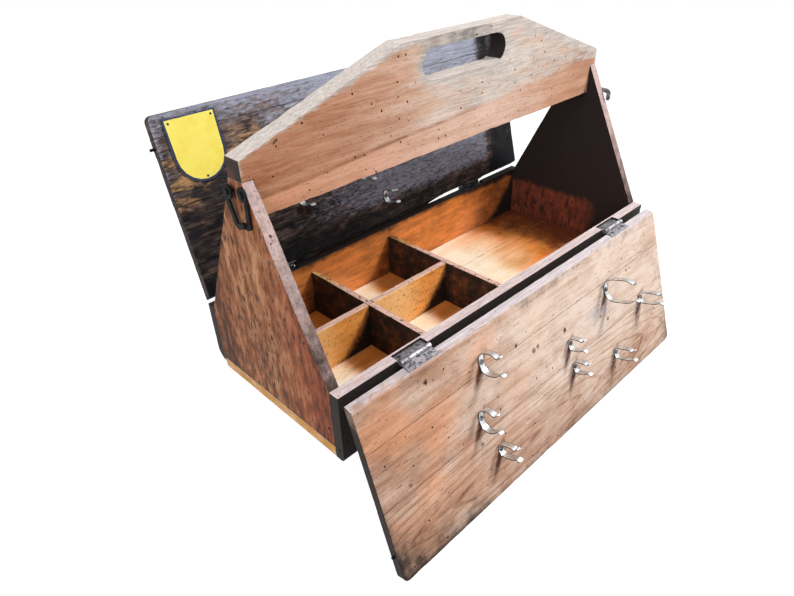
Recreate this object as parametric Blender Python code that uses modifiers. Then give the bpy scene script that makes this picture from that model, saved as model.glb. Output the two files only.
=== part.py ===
"""A wooden tool carrier: an open box with a board handle and two hinged lids lined with spring clips.

+X runs along the carrier, -Y is its front and +Z is up. The origin is the middle of the underside.
Lids are modelled shut and hooks hanging, round empties on their pivot axes, and are then turned.
All sizes are in metres and all angles in radians.
"""

from math import atan2, cos, hypot, pi, radians, sin, sqrt, tan

import bmesh
import bpy
from mathutils import Matrix

GAP = 0.0003                      # clearance between pieces that touch
ROUND_STEPS = 16                  # facets round a full turn
CORNER_STEPS = 5                  # facets round a corner or a bend
WELD = 0.000003                   # points closer than this are one
SHARP = radians(40)               # edges that turn more than this stay crisp

# Box
LENGTH = 0.540
END_DEPTH = 0.195                 # width of an end board below the top of the rails
END_THICK = 0.0115
BASE_THICK = 0.012
BASE_JOINT_Y = 0.035              # joint between the two planks of the base
RAIL_TOP = 0.080
RAIL_THICK = 0.012
FRONT_RAIL_ROUND = 0.005
REAR_RAIL_ROUND = 0.010
REAR_RAIL_LAP = 0.004             # how far the rear rail hangs below the top of the base
SHOULDER = 0.251                  # top of the end boards

# Handle board
HANDLE_THICK = 0.021
HANDLE_BOTTOM = 0.216
HANDLE_END_HEIGHT = 0.0185
HANDLE_TOP = 0.330
HANDLE_FLAT = 0.184               # level stretch along the top
HANDLE_FLAT_SHIFT = 0.007
SLOT_LENGTH = 0.129
SLOT_HEIGHT = 0.030
SLOT_SHIFT = 0.0085
SLOT_DROP = 0.026                 # middle of the hand slot below the top of the handle

# Dividers
DIVIDER_THICK = 0.008
DIVIDER_DROP = 0.013              # top of the dividers below the top of the rails
LEFT_BAY = 0.1175
MIDDLE_BAY = 0.119
LONG_DIVIDER_Y = -0.002

# Lids
LID_THICK = 0.0105
LID_SEAT = 0.0005                 # height of a shut lid's edge above its rail
LID_HANDLE_CLEARANCE = 0.0008
LID_CORNER_ROUND = 0.007
FRONT_LID_JOINTS = (0.044, 0.108)
REAR_LID_JOINTS = (0.100, 0.169)
FRONT_LID_OPEN = radians(188.9)
REAR_LID_OPEN = radians(41.3)

# Hinges
HINGE_LENGTH = 0.040
KNUCKLES = 3                      # two on the rail leaf and one between them on the lid leaf
KNUCKLE_RADIUS = 0.003
HINGE_PIN_RADIUS = 0.0012
LEAF_THICK = 0.0012
LEAF_OFFSET = 0.0008              # from the axis to the near face of a leaf
LEAF_REACH = 0.0125               # from the axis to the far edge of a leaf
TAB_INSET = 0.0001                # a knuckle's tab is thinner than its leaf by this much a side
TAB_OVERLAP = 0.001
FRONT_HINGE_INSETS = (0.093, 0.083)
REAR_HINGE_INSETS = (0.095, 0.101)

# Spring clips, each with its distance from the lid's left end, or from its right end if below zero,
# its distance from the lid's hinged edge, its width over the jaws and its height off the lid
CLIP_STRIP = 0.008
CLIP_THICK = 0.0008
CLIP_SEAT = 0.006
CLIP_CLOSE = radians(50)          # how far the jaws turn in past upright
CLIP_FLARE = radians(35)
CLIP_LIP = 0.005
FRONT_CLIPS = (
    (0.162, 0.033, 0.027, 0.030),
    (0.144, 0.090, 0.027, 0.027),
    (0.162, 0.139, 0.016, 0.027),
    (-0.229, 0.086, 0.016, 0.023),
    (-0.227, 0.118, 0.016, 0.023),
    (-0.140, 0.054, 0.031, 0.045),
    (-0.138, 0.144, 0.016, 0.030),
    (-0.062, 0.0985, 0.016, 0.033),
)
REAR_CLIPS = (
    (0.267, 0.029, 0.018, 0.025),
    (0.237, 0.068, 0.018, 0.025),
    (0.142, 0.066, 0.018, 0.025),
)

# Name plate, left bare
PLATE_INSET = 0.041               # from the lid's left end to the middle of the plate
PLATE_WIDTH = 0.057
PLATE_HEIGHT = 0.068
PLATE_FROM_EDGE = 0.006           # from the lid's free edge to the top of the plate
PLATE_THICK = 0.0012

# Latch hooks and the pins they drop over
LATCH_PIN_RADIUS = 0.0015
LATCH_PIN_DEPTH = 0.010
LATCH_PIN_FROM_EDGE = 0.031
HEAD_THICK = 0.0014
HEAD_RIM = 0.0012                 # how far a head stands out round its shank
HOOK_THICK = 0.0022
HOOK_WIDTH = 0.0038
HOOK_SLACK = 0.0005
HOOK_TIP_CLEARANCE = 0.0011       # from a hanging hook's tip at the right end to the middle plane
PIVOT_RADIUS = 0.0019
PIVOT_DEPTH = 0.008
LEFT_FRONT_PIVOT_OUT = 0.0105     # from the middle plane
LEFT_REAR_PIVOT_OUT = 0.0080
RIGHT_PIVOT_OUT = 0.0085
LEFT_FRONT_PIVOT_DROP = 0.0095    # below the shoulder
LEFT_REAR_PIVOT_DROP = 0.0105
RIGHT_PIVOT_DROP = 0.035
LEFT_FRONT_HOOK_LIFT = 0          # from hanging; below zero, a hook leans inwards
LEFT_REAR_HOOK_LIFT = radians(-20)
RIGHT_FRONT_HOOK_LIFT = radians(88)
RIGHT_REAR_HOOK_LIFT = 0

# Finishes as colour, roughness and metallic value
END_WOOD = ((0.26, 0.13, 0.06), 0.65, 0.0)
RAIL_WOOD = ((0.30, 0.15, 0.08), 0.65, 0.0)
BASE_WOOD = ((0.62, 0.36, 0.14), 0.6, 0.0)
HANDLE_WOOD = ((0.46, 0.25, 0.14), 0.6, 0.0)
DIVIDER_WOOD = ((0.38, 0.17, 0.07), 0.6, 0.0)
FRONT_LID_WOOD = ((0.40, 0.22, 0.12), 0.6, 0.0)
REAR_LID_WOOD = ((0.08, 0.05, 0.04), 0.6, 0.0)
BRIGHT_STEEL = ((0.78, 0.78, 0.78), 0.25, 1.0)
HINGE_STEEL = ((0.35, 0.33, 0.32), 0.4, 1.0)
BLACK_IRON = ((0.03, 0.03, 0.03), 0.5, 0.8)
YELLOW_ENAMEL = ((0.80, 0.60, 0.05), 0.3, 0.0)

# Values that follow from the sizes above
HALF_LENGTH = LENGTH / 2
HALF_DEPTH = END_DEPTH / 2
RAIL_INNER = HALF_DEPTH + GAP
RAIL_OUTER = RAIL_INNER + RAIL_THICK
SLANT = atan2(HALF_DEPTH - HANDLE_THICK / 2, SHOULDER - RAIL_TOP)
AXIS_OUT = RAIL_OUTER + GAP + KNUCKLE_RADIUS
AXIS_UP = RAIL_TOP + LID_SEAT - GAP - LEAF_THICK - LEAF_OFFSET
LID_EDGE_RISE = (LID_SEAT - GAP * sin(SLANT)) / cos(SLANT)
LID_EDGE_OUT = HALF_DEPTH + GAP * cos(SLANT) - LID_EDGE_RISE * sin(SLANT)
LID_EDGE_UP = RAIL_TOP + LID_SEAT
LID_WIDTH = (LID_EDGE_OUT - HANDLE_THICK / 2 - LID_HANDLE_CLEARANCE) / sin(SLANT)
LATCH_PIN_ALONG = LID_WIDTH - LATCH_PIN_FROM_EDGE
THROAT_INNER = LATCH_PIN_RADIUS + HOOK_SLACK
THROAT_OUTER = THROAT_INNER + HOOK_WIDTH
HOOK_TIP = RIGHT_PIVOT_OUT - HOOK_WIDTH / 2 - HOOK_TIP_CLEARANCE
INSIDE_LEFT = -HALF_LENGTH + END_THICK + GAP
INSIDE_RIGHT = HALF_LENGTH - END_THICK - GAP
FLOOR_TOP = BASE_THICK + GAP

FRONT = -1                        # sign of Y on the front side
REAR = 1
LEFT = -1                         # sign of X at the left end
RIGHT = 1
ACROSS = (pi / 2, 0, pi / 2)      # turns a flat outline to face along X
UPRIGHT = (pi / 2, 0, 0)          # turns a flat outline to face along Y
CUT = "DIFFERENCE"
JOIN = "UNION"


def clear_scene():
    for thing in list(bpy.data.objects):
        bpy.data.objects.remove(thing, do_unlink=True)


def make_collection(name):
    collection = bpy.data.collections.new(name)
    bpy.context.scene.collection.children.link(collection)
    return collection


def make_material(name, finish):
    colour, roughness, metallic = finish
    material = bpy.data.materials.new(name)
    material.use_nodes = True
    shader = material.node_tree.nodes["Principled BSDF"]
    shader.inputs["Base Color"].default_value = (*colour, 1.0)
    shader.inputs["Roughness"].default_value = roughness
    shader.inputs["Metallic"].default_value = metallic
    return material


def place(thing, parent, location, rotation):
    thing.parent = parent
    thing.location = location
    thing.rotation_euler = rotation


def add_part(name, mesh, finish, parent=None, location=(0, 0, 0), rotation=(0, 0, 0)):
    part = bpy.data.objects.new(name, mesh)
    parts.objects.link(part)
    place(part, parent, location, rotation)
    mesh.materials.append(make_material(name, finish))
    return part


def add_cutter(name, mesh, parent=None, location=(0, 0, 0), rotation=(0, 0, 0)):
    cutter = bpy.data.objects.new(name, mesh)
    cutters.objects.link(cutter)
    place(cutter, parent, location, rotation)
    cutter.hide_render = True
    cutter.display_type = "WIRE"
    return cutter


def combine(part, other, operation):
    modifier = part.modifiers.new(other.name, "BOOLEAN")
    modifier.operation = operation
    modifier.solver = "EXACT"
    modifier.object = other


def add_axis(name, location, turn):
    """An empty on a pivot axis along X, turned round that axis."""
    axis = bpy.data.objects.new(name, None)
    parts.objects.link(axis)
    place(axis, None, location, (turn, 0, 0))
    return axis


def finish_mesh(name, work):
    bmesh.ops.remove_doubles(work, verts=work.verts, dist=WELD)
    bmesh.ops.recalc_face_normals(work, faces=work.faces)
    mesh = bpy.data.meshes.new(name)
    work.to_mesh(mesh)
    work.free()
    mesh.shade_smooth()
    mesh.set_sharp_from_angle(angle=SHARP)
    return mesh


def box_mesh(name, size):
    work = bmesh.new()
    bmesh.ops.create_cube(work, size=1, matrix=Matrix.Diagonal((*size, 1)))
    return finish_mesh(name, work)


def rod_mesh(name, radius, length):
    """A cylinder along Z, centred."""
    work = bmesh.new()
    bmesh.ops.create_cone(
        work, cap_ends=True, segments=ROUND_STEPS, radius1=radius, radius2=radius, depth=length
    )
    return finish_mesh(name, work)


def outline_mesh(name, loops, thickness):
    """A flat outline given a thickness. Its first loop is the edge and any others are holes."""
    curve = bpy.data.curves.new(name, "CURVE")
    curve.dimensions = "2D"
    curve.fill_mode = "BOTH"
    curve.extrude = thickness / 2
    for loop in loops:
        spline = curve.splines.new("POLY")
        spline.points.add(len(loop) - 1)
        for point, (across, up) in zip(spline.points, loop):
            point.co = (across, up, 0, 1)
        spline.use_cyclic_u = True
    holder = bpy.data.objects.new(name, curve)
    bpy.context.scene.collection.objects.link(holder)
    graph = bpy.context.evaluated_depsgraph_get()
    filled = bpy.data.meshes.new_from_object(holder.evaluated_get(graph))
    work = bmesh.new()
    work.from_mesh(filled)
    bpy.data.objects.remove(holder)
    bpy.data.meshes.remove(filled)
    return finish_mesh(name, work)


def arc(centre, radius, start, stop, steps=CORNER_STEPS):
    """Points along an arc, ends included."""
    angles = [start + (stop - start) * step / steps for step in range(steps + 1)]
    return [(centre[0] + radius * cos(angle), centre[1] + radius * sin(angle)) for angle in angles]


def circle(radius):
    return arc((0, 0), radius, 0, 2 * pi * (1 - 1 / ROUND_STEPS), ROUND_STEPS - 1)


def on_side(points, side):
    """Points given as distance out from the middle plane and height, put on the front or rear side."""
    return [(side * out, up) for out, up in points]


def add_board(name, low, high, finish):
    size = [top - bottom for bottom, top in zip(low, high)]
    middle = [(bottom + top) / 2 for bottom, top in zip(low, high)]
    return add_part(name, box_mesh(name, size), finish, location=middle)


def hook_stand(side):
    """How far a hook stands off its end board. The rear hooks lie over the front ones."""
    return GAP if side == FRONT else 2 * GAP + HOOK_THICK


def add_pin(name, radius, depth, end, side, finish, place_yz, parent=None, rim=0):
    """A turned pin in the end face at one end, for the hook of one side, with a head where a rim is given."""
    neck = hook_stand(side) + HOOK_THICK + GAP
    profile = [(radius, neck), (radius, -depth), (0, -depth)]
    if rim:
        top = neck + HEAD_THICK
        profile = [(0, top), (radius + rim, top), (radius + rim, neck), *profile]
    else:
        profile = [(0, neck), *profile]
    work = bmesh.new()
    corners = [work.verts.new((out, 0, height)) for out, height in profile]
    for first, second in zip(corners, corners[1:]):
        work.edges.new((first, second))
    mesh = bpy.data.meshes.new(name)
    work.to_mesh(mesh)
    work.free()
    pin = add_part(name, mesh, finish, parent, (end * HALF_LENGTH, *place_yz), (0, end * pi / 2, 0))
    turn = pin.modifiers.new("Turn", "SCREW")
    turn.steps = ROUND_STEPS
    turn.render_steps = ROUND_STEPS
    turn.use_merge_vertices = True
    turn.merge_threshold = WELD


def add_pin_hole(boards, name, radius, depth, end, place_yz, parent=None):
    """A blind hole in the end faces of boards, deep enough to clear the tip of its pin."""
    mesh = rod_mesh(name, radius + GAP, 2 * (depth + GAP))
    hole = add_cutter(name, mesh, parent, (end * HALF_LENGTH, *place_yz), (0, pi / 2, 0))
    for board in boards:
        combine(board, hole, CUT)


def build_end_board(name, end):
    outline = (
        (-HALF_DEPTH, FLOOR_TOP),
        (HALF_DEPTH, FLOOR_TOP),
        (HALF_DEPTH, RAIL_TOP),
        (HANDLE_THICK / 2, SHOULDER),
        (-HANDLE_THICK / 2, SHOULDER),
        (-HALF_DEPTH, RAIL_TOP),
    )
    middle = end * (HALF_LENGTH - END_THICK / 2)
    return add_part(name, outline_mesh(name, [outline], END_THICK), END_WOOD, None, (middle, 0, 0), ACROSS)


def build_rail(name, side, bottom, rounding):
    """A rail on the outside of the end boards, its lower outer edge rounded."""
    corner = arc((RAIL_OUTER - rounding, bottom + rounding), rounding, -pi / 2, 0)
    outline = [(RAIL_INNER, RAIL_TOP), (RAIL_INNER, bottom), *corner, (RAIL_OUTER, RAIL_TOP)]
    mesh = outline_mesh(name, [on_side(outline, side)], LENGTH)
    return add_part(name, mesh, RAIL_WOOD, rotation=ACROSS)


def build_base():
    joints = (-HALF_DEPTH, BASE_JOINT_Y, HALF_DEPTH)
    for name, front, rear in (("base_plank_front", *joints[:2]), ("base_plank_rear", *joints[1:])):
        low = (-HALF_LENGTH, front + GAP / 2, 0)
        high = (HALF_LENGTH, rear - GAP / 2, BASE_THICK)
        add_board(name, low, high, BASE_WOOD)


def build_handle():
    """A board notched over the end boards, peaked along its top, with a hand slot through it."""
    seat = SHOULDER + GAP
    end_top = seat + HANDLE_END_HEIGHT
    flat_left = HANDLE_FLAT_SHIFT - HANDLE_FLAT / 2
    flat_right = HANDLE_FLAT_SHIFT + HANDLE_FLAT / 2
    outline = (
        (INSIDE_LEFT, HANDLE_BOTTOM),
        (INSIDE_RIGHT, HANDLE_BOTTOM),
        (INSIDE_RIGHT, seat),
        (HALF_LENGTH, seat),
        (HALF_LENGTH, end_top),
        (flat_right, HANDLE_TOP),
        (flat_left, HANDLE_TOP),
        (-HALF_LENGTH, end_top),
        (-HALF_LENGTH, seat),
        (INSIDE_LEFT, seat),
    )
    radius = SLOT_HEIGHT / 2
    reach = SLOT_LENGTH / 2 - radius
    height = HANDLE_TOP - SLOT_DROP
    right_end = arc((SLOT_SHIFT + reach, height), radius, -pi / 2, pi / 2, 2 * CORNER_STEPS)
    left_end = arc((SLOT_SHIFT - reach, height), radius, pi / 2, 3 * pi / 2, 2 * CORNER_STEPS)
    mesh = outline_mesh("handle_board", [outline, right_end + left_end], HANDLE_THICK)
    add_part("handle_board", mesh, HANDLE_WOOD, rotation=UPRIGHT)


def build_dividers():
    """Two dividers across the box, and one along it in two lengths between them."""
    top = RAIL_TOP - DIVIDER_DROP
    first = INSIDE_LEFT + LEFT_BAY
    second = first + DIVIDER_THICK + MIDDLE_BAY
    for name, left in (("cross_divider_left", first), ("cross_divider_right", second)):
        low = (left, -HALF_DEPTH, FLOOR_TOP)
        high = (left + DIVIDER_THICK, HALF_DEPTH, top)
        add_board(name, low, high, DIVIDER_WOOD)
    front = LONG_DIVIDER_Y - DIVIDER_THICK / 2
    lengths = (
        ("long_divider_left", INSIDE_LEFT, first - GAP),
        ("long_divider_middle", first + DIVIDER_THICK + GAP, second - GAP),
    )
    for name, left, right in lengths:
        add_board(name, (left, front, FLOOR_TOP), (right, front + DIVIDER_THICK, top), DIVIDER_WOOD)


def lid_point(along, away):
    """A point on a shut lid's section, as distance out and height from the hinge axis.

    along runs up the lid from the inner corner of its hinged edge, and away runs off its inner face.
    """
    out = LID_EDGE_OUT - along * sin(SLANT) - away * cos(SLANT)
    up = LID_EDGE_UP + along * cos(SLANT) - away * sin(SLANT)
    return out - AXIS_OUT, up - AXIS_UP


def lid_pin_place(side):
    out, up = lid_point(LATCH_PIN_ALONG, -LID_THICK / 2)
    return side * out, up


def build_lid_planks(label, side, axis, joints, finish):
    """The planks of a lid. The lowest is bevelled to lie flat on the rail when shut, the last has round corners."""
    first, second = joints
    bevel = -LID_THICK * tan(SLANT)
    planks = []
    for place_word, start, outer_start, stop in (
        ("lower", 0, bevel, first - GAP / 2),
        ("middle", first + GAP / 2, first + GAP / 2, second - GAP / 2),
    ):
        name = f"{label}_lid_plank_{place_word}"
        corners = ((start, 0), (stop, 0), (stop, -LID_THICK), (outer_start, -LID_THICK))
        outline = on_side([lid_point(*corner) for corner in corners], side)
        planks.append(add_part(name, outline_mesh(name, [outline], LENGTH), finish, axis, rotation=ACROSS))

    name = f"{label}_lid_plank_upper"
    start = second + GAP / 2
    inset = HALF_LENGTH - LID_CORNER_ROUND
    high = LID_WIDTH - LID_CORNER_ROUND
    right_corner = arc((inset, high), LID_CORNER_ROUND, 0, pi / 2)
    left_corner = arc((-inset, high), LID_CORNER_ROUND, pi / 2, pi)
    outline = [(-HALF_LENGTH, start), (HALF_LENGTH, start), *right_corner, *left_corner]
    out, up = lid_point(0, -LID_THICK / 2)
    mesh = outline_mesh(name, [outline], LID_THICK)
    planks.append(add_part(name, mesh, finish, axis, (0, side * out, up), (pi / 2 + side * SLANT, 0, 0)))
    return planks


def clip_outline(width, height):
    """Edge of a bent spring strip: a flat seat, two jaws that turn in and lips that flare out."""
    jaw = (width - CLIP_THICK) / 2
    seat = CLIP_SEAT / 2
    bend = jaw - seat
    low = GAP + CLIP_THICK / 2
    lip_rise = CLIP_LIP * cos(CLIP_FLARE)
    jaw_centre = height - CLIP_THICK / 2 - lip_rise - jaw * sin(CLIP_CLOSE)
    half = [(0, low), *arc((seat, low + bend), bend, -pi / 2, 0), *arc((0, jaw_centre), jaw, 0, CLIP_CLOSE)]
    half.append((half[-1][0] + CLIP_LIP * sin(CLIP_FLARE), half[-1][1] + lip_rise))
    path = [(-along, away) for along, away in reversed(half[1:])] + half
    return thicken(path, CLIP_THICK)


def thicken(path, thickness):
    """The closed edge of a strip of one thickness that follows a path."""
    last = len(path) - 1
    left = []
    right = []
    for index, (x, y) in enumerate(path):
        before = path[max(index - 1, 0)]
        after = path[min(index + 1, last)]
        into = atan2(y - before[1], x - before[0]) if index else atan2(after[1] - y, after[0] - x)
        onward = atan2(after[1] - y, after[0] - x) if index < last else into
        bend = (onward - into + pi) % (2 * pi) - pi
        normal = into + bend / 2 + pi / 2
        reach = thickness / 2 / cos(bend / 2)
        left.append((x + reach * cos(normal), y + reach * sin(normal)))
        right.append((x - reach * cos(normal), y - reach * sin(normal)))
    return left + right[::-1]


def from_end(inset):
    """X of a place by its distance from the left end, or from the right end if below zero."""
    return inset - HALF_LENGTH if inset > 0 else inset + HALF_LENGTH


def build_clips(label, side, axis, clips):
    for number, (inset, along, width, height) in enumerate(clips, 1):
        name = f"{label}_spring_clip_{number}"
        edge = [lid_point(along + shift, away) for shift, away in clip_outline(width, height)]
        mesh = outline_mesh(name, [on_side(edge, side)], CLIP_STRIP)
        add_part(name, mesh, BRIGHT_STEEL, axis, (from_end(inset), 0, 0), ACROSS)


def build_name_plate(axis):
    """A thin plate with a level top and a round lower end, on the inside of the rear lid."""
    radius = PLATE_WIDTH / 2
    top = LID_WIDTH - PLATE_FROM_EDGE
    centre = top - PLATE_HEIGHT + radius
    round_end = arc((0, centre), radius, -pi, 0, 2 * CORNER_STEPS)
    mesh = outline_mesh("name_plate", [[(radius, top), (-radius, top), *round_end]], PLATE_THICK)
    out, up = lid_point(0, GAP + PLATE_THICK / 2)
    add_part("name_plate", mesh, YELLOW_ENAMEL, axis, (from_end(PLATE_INSET), out, up), (pi / 2 + SLANT, 0, 0))


def knuckle_outline(side, rise):
    """A knuckle with a tab into its leaf, which lies above the axis where rise is 1 and below it at -1."""
    near = LEAF_OFFSET + TAB_INSET
    far = LEAF_OFFSET + LEAF_THICK - TAB_INSET
    start = atan2(far, -sqrt(KNUCKLE_RADIUS ** 2 - far ** 2))
    stop = atan2(near, -sqrt(KNUCKLE_RADIUS ** 2 - near ** 2)) - 2 * pi
    end = -(KNUCKLE_RADIUS + GAP + TAB_OVERLAP)
    outline = arc((0, 0), KNUCKLE_RADIUS, start, stop, ROUND_STEPS) + [(end, near), (end, far)]
    return [(side * out, rise * up) for out, up in outline]


def build_leaf(name, side, rise, knuckles, x, finish, parent, origin):
    """A hinge leaf with its own knuckles, each a middle and a length along X."""
    inner = KNUCKLE_RADIUS + GAP
    size = (HINGE_LENGTH, LEAF_REACH - inner, LEAF_THICK)
    out = -(LEAF_REACH + inner) / 2
    up = rise * (LEAF_OFFSET + LEAF_THICK / 2)
    middle = (x, origin[0] + side * out, origin[1] + up)
    leaf = add_part(name, box_mesh(name, size), finish, parent, middle)
    bore = circle(HINGE_PIN_RADIUS + GAP)
    for number, (centre, length) in enumerate(knuckles, 1):
        knuckle_name = f"{name}_knuckle_{number}"
        mesh = outline_mesh(knuckle_name, [knuckle_outline(side, rise), bore], length)
        knuckle = add_cutter(knuckle_name, mesh, parent, (x + centre, *origin), ACROSS)
        combine(leaf, knuckle, JOIN)


def build_hinge(label, side, x, axis, rail):
    """A butt hinge let into the rail: its leaves, its pin and the recess that both leaves fold into."""
    share = HINGE_LENGTH / KNUCKLES
    outer = [(end * share, share) for end in (LEFT, RIGHT)]
    inner = [(0, share - 2 * GAP)]
    origin = (side * AXIS_OUT, AXIS_UP)
    build_leaf(f"{label}_rail_leaf", side, -1, outer, x, HINGE_STEEL, None, origin)
    build_leaf(f"{label}_lid_leaf", side, 1, inner, x, HINGE_STEEL, axis, (0, 0))
    pin_name = f"{label}_pin"
    pin = rod_mesh(pin_name, HINGE_PIN_RADIUS, HINGE_LENGTH)
    add_part(pin_name, pin, HINGE_STEEL, None, (x, *origin), (0, pi / 2, 0))
    floor = AXIS_UP - LEAF_OFFSET - LEAF_THICK - GAP
    depth = RAIL_TOP - floor
    reach = LEAF_REACH + GAP
    recess_name = f"{label}_recess"
    recess = box_mesh(recess_name, (HINGE_LENGTH + 2 * GAP, 2 * reach, 2 * depth))
    combine(rail, add_cutter(recess_name, recess, None, (x, side * AXIS_OUT, RAIL_TOP)), CUT)


def build_hinges(label, side, axis, rail, insets):
    for end_word, end, inset in zip(("left", "right"), (LEFT, RIGHT), insets):
        build_hinge(f"{label}_hinge_{end_word}", side, end * (HALF_LENGTH - inset), axis, rail)


def add_lid_axis(label, side, opening):
    return add_axis(f"{label}_lid_axis", (0, side * AXIS_OUT, AXIS_UP), -side * opening)


def build_latch_pins(label, side, axis, planks):
    """A pin in each end of a lid, for the hooks to drop over."""
    spot = lid_pin_place(side)
    for end_word, end in (("left", LEFT), ("right", RIGHT)):
        name = f"{label}_latch_pin_{end_word}"
        add_pin(name, LATCH_PIN_RADIUS, LATCH_PIN_DEPTH, end, side, BLACK_IRON, spot, axis)
        add_pin_hole(planks, f"{name}_hole", LATCH_PIN_RADIUS, LATCH_PIN_DEPTH, end, spot, axis)


def hook_outline(throat):
    """A hanging hook: an eye at the pivot, a straight shank and a square bend round the latch pin.

    throat is the distance from the pivot to the pin. The bend's tip points to positive across.
    """
    tip_radius = HOOK_WIDTH / 2
    tip_drop = -throat - (THROAT_INNER + THROAT_OUTER) / 2
    leave = atan2(-sqrt(THROAT_OUTER ** 2 - THROAT_INNER ** 2), -THROAT_INNER)
    outer_bend = arc((0, -throat), THROAT_OUTER, -pi, -pi / 2)
    tip = arc((HOOK_TIP, tip_drop), tip_radius, -pi / 2, pi / 2)
    inner_bend = arc((0, -throat), THROAT_INNER, -pi / 2, -pi)
    eye = arc((0, 0), THROAT_OUTER, leave, pi, ROUND_STEPS)
    return [*outer_bend, *tip, *inner_bend, *eye]


def build_hook(end_word, end, side_word, side, pivot_out, pivot_drop, lift, board):
    """A hook on the outside of an end board, on its own pivot screw."""
    label = f"{end_word}_{side_word}_hook"
    pivot = (side * pivot_out, SHOULDER - pivot_drop)
    pin_y, pin_z = lid_pin_place(side)
    throat = hypot(pin_y + side * AXIS_OUT - pivot[0], pin_z + AXIS_UP - pivot[1])
    axis = add_axis(f"{label}_axis", (0, *pivot), side * lift)
    outline = [(-side * across, up) for across, up in hook_outline(throat)]
    eye = circle(PIVOT_RADIUS + GAP)
    middle = end * (HALF_LENGTH + hook_stand(side) + HOOK_THICK / 2)
    add_part(label, outline_mesh(label, [outline, eye], HOOK_THICK), BLACK_IRON, axis, (middle, 0, 0), ACROSS)
    add_pin(f"{label}_pivot", PIVOT_RADIUS, PIVOT_DEPTH, end, side, BLACK_IRON, pivot, rim=HEAD_RIM)
    add_pin_hole([board], f"{label}_pivot_hole", PIVOT_RADIUS, PIVOT_DEPTH, end, pivot)


clear_scene()
parts = make_collection("tool_carrier")
cutters = make_collection("tool_carrier_cutters")

left_board = build_end_board("left_end_board", LEFT)
right_board = build_end_board("right_end_board", RIGHT)
front_rail = build_rail("front_rail", FRONT, 0, FRONT_RAIL_ROUND)
rear_rail = build_rail("rear_rail", REAR, BASE_THICK - REAR_RAIL_LAP, REAR_RAIL_ROUND)
build_base()
build_handle()
build_dividers()

front_axis = add_lid_axis("front", FRONT, FRONT_LID_OPEN)
front_planks = build_lid_planks("front", FRONT, front_axis, FRONT_LID_JOINTS, FRONT_LID_WOOD)
build_latch_pins("front", FRONT, front_axis, front_planks)
build_clips("front", FRONT, front_axis, FRONT_CLIPS)
build_hinges("front", FRONT, front_axis, front_rail, FRONT_HINGE_INSETS)

rear_axis = add_lid_axis("rear", REAR, REAR_LID_OPEN)
rear_planks = build_lid_planks("rear", REAR, rear_axis, REAR_LID_JOINTS, REAR_LID_WOOD)
build_latch_pins("rear", REAR, rear_axis, rear_planks)
build_clips("rear", REAR, rear_axis, REAR_CLIPS)
build_hinges("rear", REAR, rear_axis, rear_rail, REAR_HINGE_INSETS)
build_name_plate(rear_axis)

for end_word, end, side_word, side, pivot_out, pivot_drop, lift, board in (
    ("left", LEFT, "front", FRONT, LEFT_FRONT_PIVOT_OUT, LEFT_FRONT_PIVOT_DROP, LEFT_FRONT_HOOK_LIFT, left_board),
    ("left", LEFT, "rear", REAR, LEFT_REAR_PIVOT_OUT, LEFT_REAR_PIVOT_DROP, LEFT_REAR_HOOK_LIFT, left_board),
    ("right", RIGHT, "front", FRONT, RIGHT_PIVOT_OUT, RIGHT_PIVOT_DROP, RIGHT_FRONT_HOOK_LIFT, right_board),
    ("right", RIGHT, "rear", REAR, RIGHT_PIVOT_OUT, RIGHT_PIVOT_DROP, RIGHT_REAR_HOOK_LIFT, right_board),
):
    build_hook(end_word, end, side_word, side, pivot_out, pivot_drop, lift, board)
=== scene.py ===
"""Looks of an old wooden tool carrier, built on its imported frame. Lengths are in metres."""

from functools import partial, reduce
from math import cos, pi, radians, sin
from types import SimpleNamespace

import bmesh
import bpy
import numpy as np
from bmesh import ops
from mathutils import Matrix, Vector, noise
from mathutils.bvhtree import BVHTree


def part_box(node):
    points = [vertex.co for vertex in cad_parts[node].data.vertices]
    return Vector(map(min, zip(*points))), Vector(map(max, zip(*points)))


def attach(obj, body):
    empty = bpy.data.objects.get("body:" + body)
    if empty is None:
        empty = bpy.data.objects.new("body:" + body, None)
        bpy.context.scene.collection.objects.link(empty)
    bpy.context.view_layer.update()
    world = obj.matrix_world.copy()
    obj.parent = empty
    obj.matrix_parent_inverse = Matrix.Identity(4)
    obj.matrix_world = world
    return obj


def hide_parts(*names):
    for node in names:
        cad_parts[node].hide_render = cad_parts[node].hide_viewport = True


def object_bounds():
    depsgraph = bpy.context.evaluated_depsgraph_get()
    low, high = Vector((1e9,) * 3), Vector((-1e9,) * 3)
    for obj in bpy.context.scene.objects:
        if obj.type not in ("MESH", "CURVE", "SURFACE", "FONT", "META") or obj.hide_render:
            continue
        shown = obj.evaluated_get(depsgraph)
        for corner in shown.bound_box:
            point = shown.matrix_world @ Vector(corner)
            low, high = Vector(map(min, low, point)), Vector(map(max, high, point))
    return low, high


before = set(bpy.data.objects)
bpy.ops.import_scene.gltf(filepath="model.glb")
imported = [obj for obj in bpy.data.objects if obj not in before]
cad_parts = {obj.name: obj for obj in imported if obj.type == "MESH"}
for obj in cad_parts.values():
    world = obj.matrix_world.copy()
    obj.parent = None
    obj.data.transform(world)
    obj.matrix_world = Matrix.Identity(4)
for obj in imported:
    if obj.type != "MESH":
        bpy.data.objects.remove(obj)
cad_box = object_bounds()
scene = bpy.context.scene

X, Y, Z = Vector((1, 0, 0)), Vector((0, 1, 0)), Vector((0, 0, 1))


# Node trees

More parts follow.
